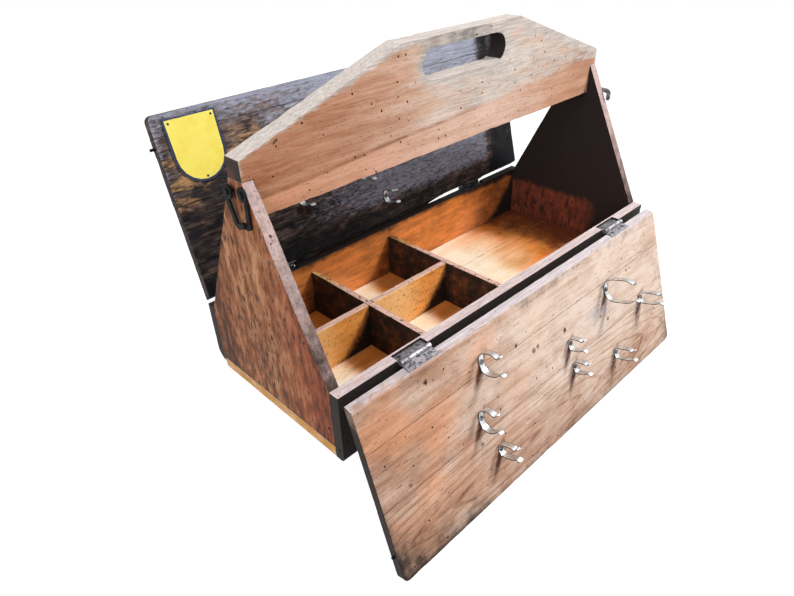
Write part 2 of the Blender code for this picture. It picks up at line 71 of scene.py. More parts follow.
class Nodes:
    """A node tree, with a short call for each kind of node."""

    def __init__(self, tree):
        self.tree = tree

    def add(self, kind, inputs=(), **settings):
        node = self.tree.nodes.new("ShaderNode" + kind)
        for key, value in settings.items():
            setattr(node, key, value)
        for key, value in dict(inputs).items():
            self.feed(node.inputs[key], value)
        return node

    def feed(self, socket, value):
        if isinstance(value, bpy.types.NodeSocket):
            self.tree.links.new(value, socket)
        else:
            socket.default_value = value

    def math(self, operation, a, b=0.0):
        return self.add("Math", {0: a, 1: b}, operation=operation).outputs[0]

    def times(self, a, b):
        return self.math("MULTIPLY", a, b)

    def plus(self, a, b, share):
        return self.math("ADD", a, self.times(b, share))

    def highest(self, values):
        return reduce(partial(self.math, "MAXIMUM"), values)

    def vector(self, operation, a, b):
        node = self.add("VectorMath", {0: a, 1: b}, operation=operation)
        return node.outputs["Value" if operation in ("DISTANCE", "DOT_PRODUCT") else "Vector"]

    def noise(self, where, detail, rough, warp=0.0):
        inputs = {"Vector": where, "Scale": 1.0, "Detail": detail, "Roughness": rough, "Distortion": warp}
        return self.add("TexNoise", inputs).outputs["Fac"]

    def step(self, value, low, high, out_low=0.0, out_high=1.0):
        inputs = {"Value": value, "From Min": low, "From Max": high, "To Min": out_low, "To Max": out_high}
        return self.add("MapRange", inputs, interpolation_type="SMOOTHSTEP").outputs[0]

    def mix(self, share, a, b):
        return self.add("Mix", {0: share, 6: a, 7: b}, data_type="RGBA").outputs[2]

    def ramp(self, value, places, colours):
        node = self.add("ValToRGB", {"Fac": value})
        elements = node.color_ramp.elements
        while len(elements) < len(places):
            elements.new(0.5)
        for element, place, colour in zip(elements, places, colours):
            element.position = place
            element.color = (*colour, 1)
        return node.outputs["Color"]

    def attribute(self, name):
        return self.add("Attribute", attribute_name=name).outputs["Fac"]


class Surface(Nodes):
    """A material's nodes, with the inputs of its shader and the place on the object."""

    def __init__(self, name):
        self.material = bpy.data.materials.new(name)
        self.material.use_nodes = True
        super().__init__(self.material.node_tree)
        self.inputs = self.tree.nodes["Principled BSDF"].inputs
        self.where = self.add("TexCoord").outputs["Object"]

    def mapped(self, scale, move=(0, 0, 0)):
        return self.add("Mapping", {"Vector": self.where, "Scale": scale, "Location": move}).outputs[0]

    def shade(self, name, value):
        self.feed(self.inputs[name], value)

    def bump(self, height, strength, distance):
        inputs = {"Height": height, "Strength": strength, "Distance": distance}
        self.shade("Normal", self.add("Bump", inputs).outputs[0])


def opaque(colour, share=1.0):
    return (*[part * share for part in colour], 1)


# Wood

PALE_WEAR = (0.53, 0.39, 0.37)
# Dark brown of dirt and of painted shade
GRIME_AND_SHADE = (0.018, 0.013, 0.012)
FLECK = (0.03, 0.015, 0.01)
ORANGE = (0.7, 0.23, 0.045)
HOLE = (0.012, 0.006, 0.004)
HOLE_RADIUS = 0.0009
# Reddish brown of the streaks below the clips: rust and painted shadow
RUST_AND_SHADOW = (0.075, 0.02, 0.009)
SEAM_HALF = 0.0006  # half the width of the dark line between two planks
FIBRE_SIZE = (0.026, 0.0017)
WAVER_SIZE = (0.11, 0.022)
CLOUDS, SMEARS, RAGS = 14, 60, 380  # features in a metre
RAGGED = 0.0045  # how far the outline of a scar strays

# The usual look of wood. A size is a feature's length along the grain and its width.
WOOD = dict(
    streaks=0.3, streak_size=(0.24, 0.015), fibres=0.3,
    mottle=0.42, mottle_size=(0.022, 0.008), blotches=0.3,
    rings=0.1, ring_from=0.3, ring_space=0.0065, ring_warp=1.6,
    pith=(0.3, 0.4, -0.1), taper=0.05,
    flecks=0.5, fleck_size=(0.012, 0.0018), fleck_from=0.6,
    specks=0.35, speck_size=0.0024, speck_from=0.6,
    warm=ORANGE, broken=False, wear=PALE_WEAR, scuff_size=(0.016, 0.0035), grime=GRIME_AND_SHADE,
    holes=0, hole_cell=0.016, hole_axes=(0, 2), marks=(), rust=(),
    seams=(), seam=0.7, crack=None, relief=0.5, specular=0.14,
)


def wood(name, along, tones, seed, **changes):
    """Old wood with its grain along one axis: streaks, rings, flecks, stains, worm holes and pale wear.

    tones are its dark, middle and light colours, and changes are to WOOD. The mesh gives attributes for tone,
    dirt, wear, warmth and flat faces; its tone also carries painted light and shade, its dirt painted shade
    and its wear painted sheen.
    """
    look = SimpleNamespace(**{**WOOD, "blotch": tones[0], **changes})
    n = Surface(name)
    shift = (seed * 1.31, seed * 2.17, seed * 3.73)
    part = n.add("SeparateXYZ", {0: n.where}).outputs

    def stretched(length, width):
        scale = [1 / width] * 3
        scale[along] = 1 / length
        return n.mapped(scale, shift)

    streaks = n.step(n.noise(stretched(*look.streak_size), 3, 0.55, 0.5), 0.3, 0.7)
    fibres = n.noise(stretched(*FIBRE_SIZE), 3, 0.6)
    mottle = n.step(n.noise(stretched(*look.mottle_size), 5, 0.6), 0.32, 0.68)
    waver = n.noise(stretched(*WAVER_SIZE), 2, 0.5)
    scuffs = n.noise(stretched(*look.scuff_size), 4, 0.65)
    clouds = n.noise(n.mapped([CLOUDS] * 3, shift), 4, 0.6)
    smears = n.noise(n.mapped([SMEARS] * 3, shift), 5, 0.68)
    scale = [1.0] * 3
    scale[along] = look.taper
    pith = [-place * share for place, share in zip(look.pith, scale)]
    reach = n.vector("DISTANCE", n.mapped(scale, pith), (0, 0, 0))
    turns = n.plus(n.times(reach, 1 / look.ring_space), waver, look.ring_warp)
    rings = n.step(n.math("SINE", n.times(turns, 2 * pi)), look.ring_from, 1.0)

    level = 0.5 * (1 - look.streaks - look.fibres - look.mottle) + 0.3 * look.rings
    # The mesh shifts the tone, for the wood's own tone and for painted light and shade
    tone = n.math("ADD", n.attribute("tone_and_light"), level)
    tone = n.plus(tone, streaks, look.streaks)
    tone = n.plus(tone, n.step(fibres, 0.28, 0.72), look.fibres)
    tone = n.plus(tone, mottle, look.mottle)
    tone = n.plus(tone, rings, -look.rings)
    colour = n.ramp(tone, (0.06, 0.5, 0.94), tones)

    colour = n.mix(n.step(clouds, 0.48, 0.72, 0, look.blotches), colour, opaque(look.blotch))
    warmth = n.times(n.attribute("warm"), n.step(mottle, 0, 1, 0.8))
    if look.broken:
        warmth = n.step(n.plus(scuffs, warmth, 0.45), 0.62, 0.98)
    colour = n.mix(warmth, colour, n.mix(tone, opaque(look.warm, 0.55), opaque(look.warm, 1.2)))
    flecks = n.plus(n.noise(stretched(*look.fleck_size), 3, 0.6), clouds, 0.25)
    flecks = n.step(flecks, look.fleck_from + 0.125, look.fleck_from + 0.235)
    colour = n.mix(n.times(flecks, look.flecks), colour, opaque(FLECK))

    # Pale wear, and painted sheen where the mesh asks for it
    worn_and_sheen = n.step(n.plus(n.attribute("wear"), scuffs, 0.9), 0.75, 1.15)
    pale = n.mix(n.step(fibres, 0.3, 0.7), opaque(look.wear, 0.7), opaque(look.wear, 1.08))
    colour = n.mix(worn_and_sheen, colour, pale)
    specks = n.noise(n.mapped([1 / look.speck_size] * 3, shift), 3, 0.6)
    specks = n.step(specks, look.speck_from, look.speck_from + 0.1, 0, look.specks)
    colour = n.mix(specks, colour, opaque(FLECK))
    # Dirt and painted shade darken the colour where the mesh asks for them
    dirty_and_shaded = n.step(n.plus(n.attribute("grime"), smears, 0.8), 0.6, 1.25)
    colour = n.mix(dirty_and_shaded, colour, opaque(look.grime))

    height = n.plus(n.plus(n.times(fibres, 0.7), flecks, -0.5), rings, -0.25)
    for normal, place in look.seams:
        off = n.math("ABSOLUTE", n.math("SUBTRACT", n.vector("DOT_PRODUCT", n.where, normal), place))
        seam = n.step(off, 2 * SEAM_HALF, 0.5 * SEAM_HALF)
        seam = n.times(seam, n.step(scuffs, 0.4, 0.62, 0.1, look.seam))
        colour = n.mix(seam, colour, opaque(tones[0], 0.22))
    if look.crack:
        slope, start, thick, fade_from, fade_to = look.crack
        line = n.plus(n.plus(part[2], part[0], -slope), waver, 0.005)
        crack = n.times(n.step(line, start - thick, start), n.step(line, start + thick, start))
        crack = n.times(crack, n.step(part[0], fade_from, fade_to, 0.12, 0.85))
        crack = n.times(crack, n.step(scuffs, 0.3, 0.6, 0.35))
        colour = n.mix(crack, colour, opaque(look.warm, 0.45))
        height = n.plus(height, crack, -0.6)
    if look.holes:
        flat = n.add("CombineXYZ", {i: part[axis] for i, axis in enumerate(look.hole_axes)}).outputs[0]
        grid = {"Vector": flat, "Scale": 1 / look.hole_cell}
        cells = n.add("TexVoronoi", grid, voronoi_dimensions="2D").outputs
        draw = n.add("SeparateColor", {0: cells["Color"]}).outputs
        crowd = n.step(clouds, 0.38, 0.62, 0.3 * look.holes, 1.7 * look.holes)
        chosen = n.times(n.math("LESS_THAN", draw[0], crowd), n.attribute("flat"))
        least, most = [share * HOLE_RADIUS / look.hole_cell for share in (0.55, 1.25)]
        share = n.math("DIVIDE", cells["Distance"], n.step(draw[1], 0, 1, least, most))
        holes = n.times(n.step(share, 1.25, 0.75), chosen)
        colour = n.mix(holes, colour, opaque(HOLE))
        height = n.plus(height, holes, -1.5)
    # Streaks below the clips: rust and painted shadow
    if look.rust:
        ways, places, wide = look.rust
        drift = {i: n.vector("DOT_PRODUCT", n.where, way) for i, way in enumerate(ways)}
        drift = n.add("CombineXYZ", drift).outputs[0]
        starts = [[place.dot(way) for way in ways] for place in places]
        rusty = n.highest([n.step(n.vector("DISTANCE", drift, start), wide, 0.35 * wide) for start in starts])
        rusty = n.times(rusty, n.step(scuffs, 0.3, 0.58, 0.55))
        colour = n.mix(rusty, colour, opaque(RUST_AND_SHADOW))
    if look.marks:
        stray = n.add("TexNoise", {"Vector": n.where, "Scale": RAGS, "Detail": 2.0}).outputs["Color"]
        stray = n.vector("MULTIPLY", n.vector("SUBTRACT", stray, [0.5] * 3), [RAGGED] * 3)
        here = n.vector("ADD", n.where, stray)
        dark = n.highest([
            n.step(n.vector("DISTANCE", here, place), radius * 1.5, radius * 0.6, 0, depth)
            for place, radius, depth in look.marks
        ])
        colour = n.mix(dark, colour, opaque(HOLE, 1.6))
        height = n.plus(height, dark, -0.4)

    n.shade("Base Color", colour)
    n.shade("Roughness", n.step(n.math("ADD", fibres, worn_and_sheen), 0.2, 1.5, 0.55, 0.8))
    n.shade("Specular IOR Level", look.specular)
    n.bump(height, look.relief, 0.0007)
    return n.material


# Metal and enamel

PLATE_DIRT = (0.07, 0.045, 0.02)


def metal(name, bright, dull, rust, rust_from, rough, metallic=1.0, specular=0.5):
    """Steel or iron with scuffs, dull film and rust."""
    n = Surface(name)
    film = n.noise(n.mapped([120] * 3), 4, 0.6)
    grain = n.noise(n.mapped([900] * 3), 2, 0.5)
    patches = n.noise(n.mapped([260] * 3, (3.1, 1.7, 0.4)), 4, 0.65)
    colour = n.mix(n.step(film, 0.35, 0.65), opaque(bright), opaque(dull))
    rusty = n.step(patches, rust_from, rust_from + 0.12)
    n.shade("Base Color", n.mix(rusty, colour, opaque(rust)))
    n.shade("Metallic", n.step(rusty, 0, 1, metallic, 0.1))
    n.shade("Specular IOR Level", specular)
    n.shade("Roughness", n.plus(n.step(film, 0.3, 0.7, rough, rough + 0.16), rusty, 0.3))
    n.bump(n.plus(grain, rusty, 0.6), 0.12, 0.0002)
    return n.material


def enamel(name, colour, shade):
    """Glossy enamel on steel, with a little fading and dirt."""
    n = Surface(name)
    clouds = n.noise(n.mapped([70] * 3), 4, 0.6)
    specks = n.noise(n.mapped([600] * 3), 2, 0.6)
    base = n.mix(n.step(clouds, 0.35, 0.7), opaque(colour), opaque(shade))
    n.shade("Base Color", n.mix(n.step(specks, 0.7, 0.76, 0, 0.6), base, opaque(PLATE_DIRT)))
    n.shade("Roughness", n.step(clouds, 0.3, 0.7, 0.22, 0.4))
    n.shade("Coat Weight", 0.25)
    n.bump(clouds, 0.1, 0.0005)
    return n.material


# Boards

TOUCH = 0.0008  # boards nearer than this are joined
SEAM = 0.0002  # chamfer of an edge that lies in a joint
JOINT_GAP = 0.0003  # what the frame leaves open between two planks
SEAL = JOINT_GAP + 0.00002
TINY = 1e-6  # edges and faces smaller than this are closed
NICK_SIZE, WAVE_SIZE = 0.013, 0.05
WAVE_DEPTH = 0.00022
EDGE_REACH = 0.003  # nicks lie nearer to an edge than this, waves farther


def family(node):
    return node.split("_plank")[0] if "_lid_" in node else "box"


def mesh_of(node):
    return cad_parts[node].data


def middle_of(node):
    return sum(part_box(node), Vector()) / 2


def surface(node):
    mesh = mesh_of(node)
    return BVHTree.FromPolygons([v.co for v in mesh.vertices], [p.vertices[:] for p in mesh.polygons])


BOARDS = {
    node: surface(node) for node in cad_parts
    if node.endswith(("board", "rail")) or "_plank_" in node or "divider" in node
}


def joined(node, edge):
    """True where an edge lies against another board of the same body."""
    near = [tree for other, tree in BOARDS.items() if other != node and family(other) == family(node)]
    spots = [edge.verts[0].co.lerp(edge.verts[1].co, share) for share in (0.1, 0.5, 0.9)]
    return all(any(tree.find_nearest(spot, TOUCH)[0] for tree in near) for spot in spots)


def clean_mesh(node):
    """A bmesh of a CAD node with its triangles joined into flat faces."""
    bm = bmesh.new()
    bm.from_mesh(mesh_of(node))
    ops.remove_doubles(bm, verts=bm.verts, dist=TINY)
    ops.dissolve_limit(bm, angle_limit=radians(0.5), verts=bm.verts, edges=bm.edges)
    return bm


def sharp_edges(bm, angle):
    return [e for e in bm.edges if len(e.link_faces) == 2 and e.calc_face_angle(0) > angle]


def bevel(bm, edges, width, segments):
    ops.bevel(
        bm, geom=edges, offset=width, segments=segments, profile=0.5, affect="EDGES", clamp_overlap=True,
    )


def slice_at(bm, spot, normal, near):
    """Cuts the faces that a plane crosses."""
    everything = bm.verts[:] + bm.edges[:] + bm.faces[:]
    ops.bisect_plane(bm, geom=everything, dist=near, plane_co=spot, plane_no=normal)


def loft(bm, rings):
    """Joins rings of vertices into a closed bar, and returns the faces between them in order."""
    count = len(rings[0])
    sides = []
    for one, two in zip(rings, rings[1:]):
        for i in range(count):
            j = (i + 1) % count
            sides.append(bm.faces.new((one[i], one[j], two[j], two[i])))
    bm.faces.new(rings[0][::-1])
    bm.faces.new(rings[-1])
    ops.recalc_face_normals(bm, faces=bm.faces)
    return sides


def drop_slivers(bm):
    """Closes faces and edges that have no size."""
    ops.remove_doubles(bm, verts=bm.verts, dist=TINY)
    ops.dissolve_degenerate(bm, dist=TINY, edges=bm.edges)


def ease(values, low, high):
    """A smooth step from 0 to 1."""
    share = np.clip((values - low) / (high - low), 0, 1)
    return share * share * (3 - 2 * share)


def cloud(points, size, seed):
    """Smooth noise from about -1 to 1, with features of one size."""
    move = Vector((seed * 7.3, seed * 3.1, seed * 5.7))
    return np.array([noise.noise(Vector(p) / size + move) for p in points])


def edge_distance(points, segments):
    """How far points are from the nearest of some lines."""
    best = np.full(len(points), 1.0)
    for start, stop in segments:
        line = stop - start
        share = np.clip((points - start) @ line / (line @ line), 0, 1)
        best = np.minimum(best, np.linalg.norm(points - start - share[:, None] * line, axis=1))
    return best


def to_mesh(name, bm):
    mesh = bpy.data.meshes.new(name)
    bm.to_mesh(mesh)
    bm.free()
    return mesh


def to_scene(name, data):
    thing = bpy.data.objects.new(name, data)
    scene.collection.objects.link(thing)
    return thing


def make_piece(name, bm, body, materials, nodes=(), attributes=()):
    """Turns a bmesh into a piece that rides on a body and stands for some CAD nodes."""
    mesh = to_mesh(name, bm)
    for label, values in dict(attributes).items():
        layer = mesh.attributes.new(label, "FLOAT", "POINT")
        layer.data.foreach_set("value", np.asarray(values, np.float32))
    for material in materials:
        mesh.materials.append(material)
    mesh.polygons.foreach_set("use_smooth", np.ones(len(mesh.polygons), bool))
    piece = to_scene(name, mesh)
    piece.modifiers.new("normals", "WEIGHTED_NORMAL").keep_sharp = True
    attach(piece, body)
    if nodes:
        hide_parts(*nodes)


def cut_grid(bm, axis, cell):
    """Cuts a mesh into slices across an axis, and returns how far it reaches along it."""
    places = [v.co.dot(axis) for v in bm.verts]
    low, high = min(places), max(places)
    count = max(1, round((high - low) / cell))
    for index in range(1, count):
        slice_at(bm, axis * (low + (high - low) * index / count), axis, 1e-5)
    return high - low


def plain(count):
    return dict.fromkeys(("tone_and_light", "grime", "wear", "warm"), np.zeros(count))


def rim(edge, reach):
    return np.exp(-edge / reach)


def board(node, body, material, paint, seed,
          axes=(X, Y, Z), cell=0.005, rounding=0.0011, chips=0.0011, seal=None):
    """A board with rounded, worn edges and a slightly uneven face, on a fine grid.

    Edges in a joint stay keen, and the end of the board towards seal closes its joint.
    """
    bm = clean_mesh(node)
    if seal is not None:
        last = max(v.co.dot(seal) for v in bm.verts)
        for v in bm.verts:
            if v.co.dot(seal) > last - 1e-5:
                v.co += seal * SEAL
    bevel(bm, [e for e in sharp_edges(bm, radians(40)) if joined(node, e)], SEAM, 1)
    free = sharp_edges(bm, radians(50))
    segments = [(np.array(e.verts[0].co), np.array(e.verts[1].co)) for e in free]
    bevel(bm, free, rounding, 3)
    extents = [cut_grid(bm, axis, cell) for axis in axes]
    drop_slivers(bm)
    bm.normal_update()
    points = np.array([v.co for v in bm.verts])
    normals = np.array([v.normal for v in bm.verts])
    edge = edge_distance(points, segments)
    nicks = np.clip(cloud(points, NICK_SIZE, seed) - 0.1, 0, 1) ** 1.5 * rim(edge, EDGE_REACH)
    waves = (0.5 + 0.5 * cloud(points, WAVE_SIZE, seed + 1)) * ease(edge, 0, EDGE_REACH)
    depth = chips * nicks + WAVE_DEPTH * waves
    for v, d in zip(bm.verts, depth):
        v.co -= v.normal * d
    thin = np.array(axes[int(np.argmin(extents))])
    flat = ease(np.abs(normals @ thin), 0.9, 0.99)
    attributes = {**plain(len(points)), "flat": flat, **paint(points, normals, edge)}
    make_piece(f"{node}_wood", bm, body, [material], [node], attributes)


def faces(normals, axis, least=0.6):
    """1 where a surface looks along an axis, and 0 well off it."""
    return ease(normals @ np.array(axis), least - 0.25, least + 0.15)


def either_way(normals, axis):
    return np.maximum(faces(normals, -axis), faces(normals, axis))


def bump(values, middle, width):
    return np.exp(-((values - middle) / width) ** 2)


# Where the walls of the bays stand
CROSS_X = [middle_of(f"cross_divider_{end}").x for end in ("left", "right")]
END_LOW, END_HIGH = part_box("left_end_board")
INSIDE_X = (END_HIGH.x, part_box("right_end_board")[0].x)
REAR_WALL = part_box("rear_rail")[0].y
RAIL_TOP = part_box("front_rail")[1].z
DIVIDER_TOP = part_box("long_divider_left")[1].z


def corners_x(points):
    """Nearness to the walls across the box, where dirt and painted corner shade darken the wood."""
    return rim(np.min([np.abs(points[:, 0] - wall) for wall in (*INSIDE_X, *CROSS_X)], axis=0), 0.008)


def from_right_wall(points):
    """Distance to the wall at the right end of a bay."""
    x = points[:, 0]
    return np.where(x < CROSS_X[0], CROSS_X[0], np.where(x < CROSS_X[1], CROSS_X[1], INSIDE_X[1])) - x


def corner_shadow(points):
    """Painted shadow in the low right corner of each bay's walls, where the next wall shades them, thinning
    out upwards.
    """
    return ease(DIVIDER_TOP * 1.05 - points[:, 2] - 1.05 * from_right_wall(points), -0.014, 0.03)


def paint_end(points, normals, edge):
    x, y, z = points.T
    outward = normals[:, 0] * np.sign(x)
    outside, inside = ease(outward, 0.35, 0.75), ease(-outward, 0.35, 0.75)
    side = 1 - outside - inside
    high = ease(z, 0.06, END_HIGH.z)
    front, rear, foot = ease(y, -0.01, -0.08), ease(y, 0.03, 0.09), ease(z, 0.03, 0.008)
    tone_and_light = outside * (0.1 - 0.32 * rear - 0.24 * front)
    grime = outside * (0.02 + 0.52 * foot + 0.2 * rear + 0.18 * ease(z, 0.21, 0.25))
    # Painted light: a reddish pool of light low on the inner face, which is otherwise dark
    lit_patch = ease(z, 0.076, 0.06) * ease(y, -0.06, -0.03)
    grime += inside * (0.95 - 0.42 * lit_patch) + side * (0.66 - 0.44 * high)
    warm = outside * 0.55 * front + inside * (0.5 + 0.5 * lit_patch)
    return dict(tone_and_light=tone_and_light, grime=grime, wear=side * (0.5 + 0.45 * high), warm=warm)


def paint_front_rail(points, normals, edge):
    top, ends = faces(normals, Z), either_way(normals, X)
    front, inside = faces(normals, -Y), faces(normals, Y)
    # The front face is dark with painted shade; inside, dirt and painted shade gather near the walls
    grime = 0.95 * front + inside * (0.3 + 0.5 * corners_x(points)) + 0.98 * ends + 0.1 * top
    wear = top * (0.62 + 0.32 * ease(points[:, 0], -0.2, 0.1))
    wear += 0.25 * rim(edge, 0.0012) * (1 - front - ends)
    return dict(grime=grime, wear=wear, warm=inside)


def paint_rear_rail(points, normals, edge):
    top, ends = faces(normals, Z), either_way(normals, X)
    inside, outside = faces(normals, -Y), faces(normals, Y)
    ragged = points[:, 2] + 0.004 * cloud(points, 0.03, 4)
    burnt = ease(ragged, RAIL_TOP - 0.013, RAIL_TOP + 0.002)
    right = ease(points[:, 0], 0.07, 0.22)
    # Painted shadow in the low right corner of each bay, dirt near the walls, and darker towards the right
    # end
    dirt_and_shade = 0.5 * corner_shadow(points) + 0.18 * corners_x(points) + 0.46 * right
    grime = 0.98 * np.maximum(top, ends) + inside * np.clip(0.62 * burnt + dirt_and_shade, 0, 0.95) + 0.4 * outside
    # Painted light: a pale patch low in each bay, and less orange there
    lit = bump(from_right_wall(points), 0.095, 0.04) * ease(points[:, 2], 0.065, 0.03)
    return dict(grime=grime, tone_and_light=inside * (0.04 + 0.5 * lit), warm=inside * (0.95 - 0.3 * lit))


def paint_base(points, normals, edge):
    x, y = points.T[:2]
    top, ends = faces(normals, Z), either_way(normals, X)
    right_bay = x > CROSS_X[1]
    # Painted shadow on the floors: pale where lit, orange-brown where the wall to the right shades them, and
    # in the right bay towards the right end
    slant = x + 0.35 * np.clip(-y, 0, 0.06)
    near_end_shade = ease(slant + 0.03 * cloud(points, 0.04, 2), 0.08, 0.185)
    far_end = ease(slant + 0.02 * cloud(points, 0.03, 3), 0.145, 0.225)
    small_bay_shade = ease(from_right_wall(points) + 0.016 * cloud(points, 0.025, 5), 0.06, 0.03)
    shade = np.where(right_bay, near_end_shade, small_bay_shade)
    rear = rim(np.abs(REAR_WALL - y), 0.006)
    # Darker towards the right end and near the walls: dirt and painted shade
    dirt_and_shade = np.where(right_bay, 0.55 * far_end + 0.18 * near_end_shade, 0.1 * small_bay_shade)
    dirt_and_shade += 0.3 * np.maximum(corners_x(points), rear)
    grime = top * dirt_and_shade + (1 - top - ends) * 0.4 + 0.22 * ends
    tone_and_light = top * (0.34 - 0.56 * shade) - 0.32 * ends
    warm = top * np.clip(0.04 + 0.95 * shade, 0, 0.95) + 0.45 * ends
    return dict(grime=grime, tone_and_light=tone_and_light, warm=warm)


def paint_divider(points, normals, edge):
    top, shaded, front = faces(normals, Z), faces(normals, -X), faces(normals, -Y)
    low = ease(points[:, 2], 0.026, 0.012)
    # Painted shade: the front faces darken in the low right corner, near the walls and at the bottom, and the
    # faces turned left are dark
    grime = front * (0.86 * corner_shadow(points) + 0.15 * low + 0.25 * corners_x(points)) + 0.76 * shaded
    grime += faces(normals, X) * 0.45 + faces(normals, Y) * 0.35
    back = ease(points[:, 1], 0.02, 0.09)
    grime += top * (0.16 + 0.34 * back)
    # Painted light: each front face is paler and less orange away from its right wall
    lit = ease(from_right_wall(points), 0.035, 0.09)
    tone_and_light = front * (0.08 + 0.72 * lit)
    warm = (1 - top) * (0.95 - 0.6 * front * lit)
    return dict(grime=grime, tone_and_light=tone_and_light, wear=top * (0.72 - 0.42 * back), warm=warm)


# The handle's lower band is redder than the rest. Its upper edge climbs a little from left to right.
BAND_SLOPE = 0.0495
BAND_LEVEL = 0.2464
BAND_EDGE = 0.002
SLOT_X = 0.03  # a face beyond this that looks left is the slot's right end


def paint_handle(points, normals, edge):
    x, z = points[:, 0], points[:, 2]
    ends, broad = either_way(normals, X), either_way(normals, Y)
    side = np.clip(1 - broad - ends, 0, 1)
    upper = ease(z, 0.235, 0.27)
    lower = ease(z - BAND_SLOPE * x, BAND_LEVEL + BAND_EDGE, BAND_LEVEL - BAND_EDGE)
    right, left = ease(x, -0.27, 0.06), ease(x, -0.13, -0.25)
    wear = 0.95 * side * upper + rim(edge, 0.0045) * (0.08 + 0.55 * upper) * (1 - ends)
    wear += broad * (1 - lower) * 0.5 * right
    far = ease(x, 0.08, 0.24)
    smear = bump(x, 0.225, 0.045) * bump(z - BAND_SLOPE * x, BAND_LEVEL + 0.006, 0.007)
    corner = ease(x, 0.24, 0.268) * ease(z, 0.25, 0.225)
    tone_and_light = -0.3 + 0.58 * right - 0.36 * far - 0.3 * smear + 0.5 * lower * (1 - right) - 0.1 * ends
    # Painted shade on the slot's right end, and a painted shadow under the top edge over the slot
    slot_end_shade = faces(normals, -X) * ease(x, SLOT_X - 0.02, SLOT_X) * ease(x, 0.2, 0.18)
    crest = bump(x, 0, 0.08) * ease(z, 0.294, 0.304)
    grime = 0.74 * ends + 0.75 * slot_end_shade
    grime += broad * (0.08 * left + 0.25 * smear + 0.4 * corner + 0.48 * crest)
    warm = (1 - ends) * (lower * (0.85 - 0.45 * right) + (1 - lower) * broad * 0.6 * (1 - right))
    return dict(grime=grime, tone_and_light=tone_and_light, wear=wear, warm=warm)


# Lids

class Lid:
    """A lid's own directions at rest: along, from its hinged edge, and away, off its inner face."""

    def __init__(self, label):
        self.label = label
        self.body = f"{label}_lid"
        self.planks = [f"{label}_lid_plank_{word}" for word in ("lower", "middle", "upper")]
        self.clips = sorted(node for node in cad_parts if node.startswith(f"{label}_spring_clip"))
        middles = [middle_of(plank) for plank in self.planks]
        self.along = (middles[2] - middles[1]).normalized()
        self.away = self.along.cross(X)
        if (middle_of(self.clips[0]) - middles[0]).dot(self.away) < 0:
            self.away = -self.away
        points = [v.co for plank in self.planks for v in mesh_of(plank).vertices]
        top = max(p.dot(self.away) for p in points)
        edge = min(p.dot(self.along) for p in points if p.dot(self.away) > top - 1e-4)
        self.origin = self.away * top + self.along * edge
        self.thick = top - min(p.dot(self.away) for p in points)
        self.outer_edge = min(p.dot(self.along) for p in points) - edge

    def point(self, x, along, away=0):
        return X * x + self.origin + self.along * along + self.away * away

    def reach(self, points):
        """How far along the lid points are."""
        return (points - np.array(self.origin)) @ np.array(self.along)

    def height(self, points):
        """How far points stand off the lid's inner face."""
        return (points - np.array(self.origin)) @ np.array(self.away)


FRONT, REAR = Lid("front"), Lid("rear")


def lid_faces(lid, normals):
    inside, outside = faces(normals, lid.away), faces(normals, -lid.away)
    hinge_edge = faces(normals, -lid.along, 0.45) * (1 - inside) * (1 - outside)
    free_edge = faces(normals, lid.along)
    return inside, outside, hinge_edge, free_edge


def paint_front_lid(points, normals, edge):
    inside, outside, hinge_edge, free_edge = lid_faces(FRONT, normals)
    x, along = points[:, 0], FRONT.reach(points)
    right = ease(x, -0.27, 0.06)
    free = ease(along, 0.085, 0.18)
    corner = ease(x, -0.12, -0.27) * ease(along, 0.1, 0.19)
    left_end = faces(normals, -X) * (1 - inside)
    # Painted light: the inner face is paler towards the right
    tone_and_light = inside * (-0.04 + 0.4 * right * (1 - 0.8 * free) - 0.04 * free - 0.06 * corner)
    stained = 0.2 * ease(cloud(points, 0.05, 21), 0, 0.5) * (1 - 0.6 * right)
    band = ease(along, 0.022, 0.004)
    margin = rim(edge, 0.006) * ease(along, 0.03, 0.1)
    grime = 0.06 + 0.12 * free + 0.3 * corner + (0.1 + 0.22 * right) * band + stained + 0.35 * margin
    grime = inside * grime + 0.24 * outside + 0.4 * free_edge
    grime += (0.34 - 0.28 * right) * hinge_edge + left_end * (0.6 + 0.62 * ease(along, 0, 0.05))
    rubbed = bump(x, 0.11, 0.035) * bump(along, 0.075, 0.018)
    wear = (0.62 + 0.28 * right) * hinge_edge + 0.2 * rim(edge, 0.0014)
    wear += inside * (0.2 * right * (1 - free) + 0.35 * rubbed)
    patchy = ease(cloud(points, 0.045, 17), -0.25, 0.35)
    warm = inside * (0.06 + 0.72 * (1 - right) * (1 - 0.7 * free) * patchy)
    return dict(tone_and_light=tone_and_light, grime=grime, wear=wear * (1 - left_end), warm=warm)


def paint_rear_lid(points, normals, edge):
    inside, outside, _, free_edge = lid_faces(REAR, normals)
    x, along = points[:, 0], REAR.reach(points)
    high = ease(along, 0.05, 0.175)
    right = ease(x, -0.3, 0.02)
    dark_end = ease(x, 0.2, 0.226)
    streaky = ease(cloud(points * np.array((0.3, 1, 1)), 0.012, 9), -0.15, 0.3)
    gold = bump(along, 0.122, 0.044) * ease(x, 0.06, -0.06) * streaky
    foot = ease(along, 0.03, 0.006)
    crest = ease(along, 0.155, 0.185)
    # Painted sheen: paler and bluer towards the top and the right
    sheen = 0.32 * high + 0.56 * right * (1 - 0.5 * high) * (1 - dark_end) - 0.5 * foot + 0.12 * crest
    wear = inside * sheen * (1 - 0.7 * gold) + 0.25 * rim(edge, 0.002)
    grime = inside * (0.26 * (1 - high) * (1 - right) + 0.75 * dark_end + 0.6 * foot)
    grime += 0.4 * outside + 0.3 * free_edge
    # Painted light: the tone is lighter towards the top and the right
    tone_and_light = inside * (0.3 * high - 0.12 + 0.2 * right)
    return dict(tone_and_light=tone_and_light, grime=grime, wear=wear, warm=inside * 0.9 * gold)


# Wooden pieces

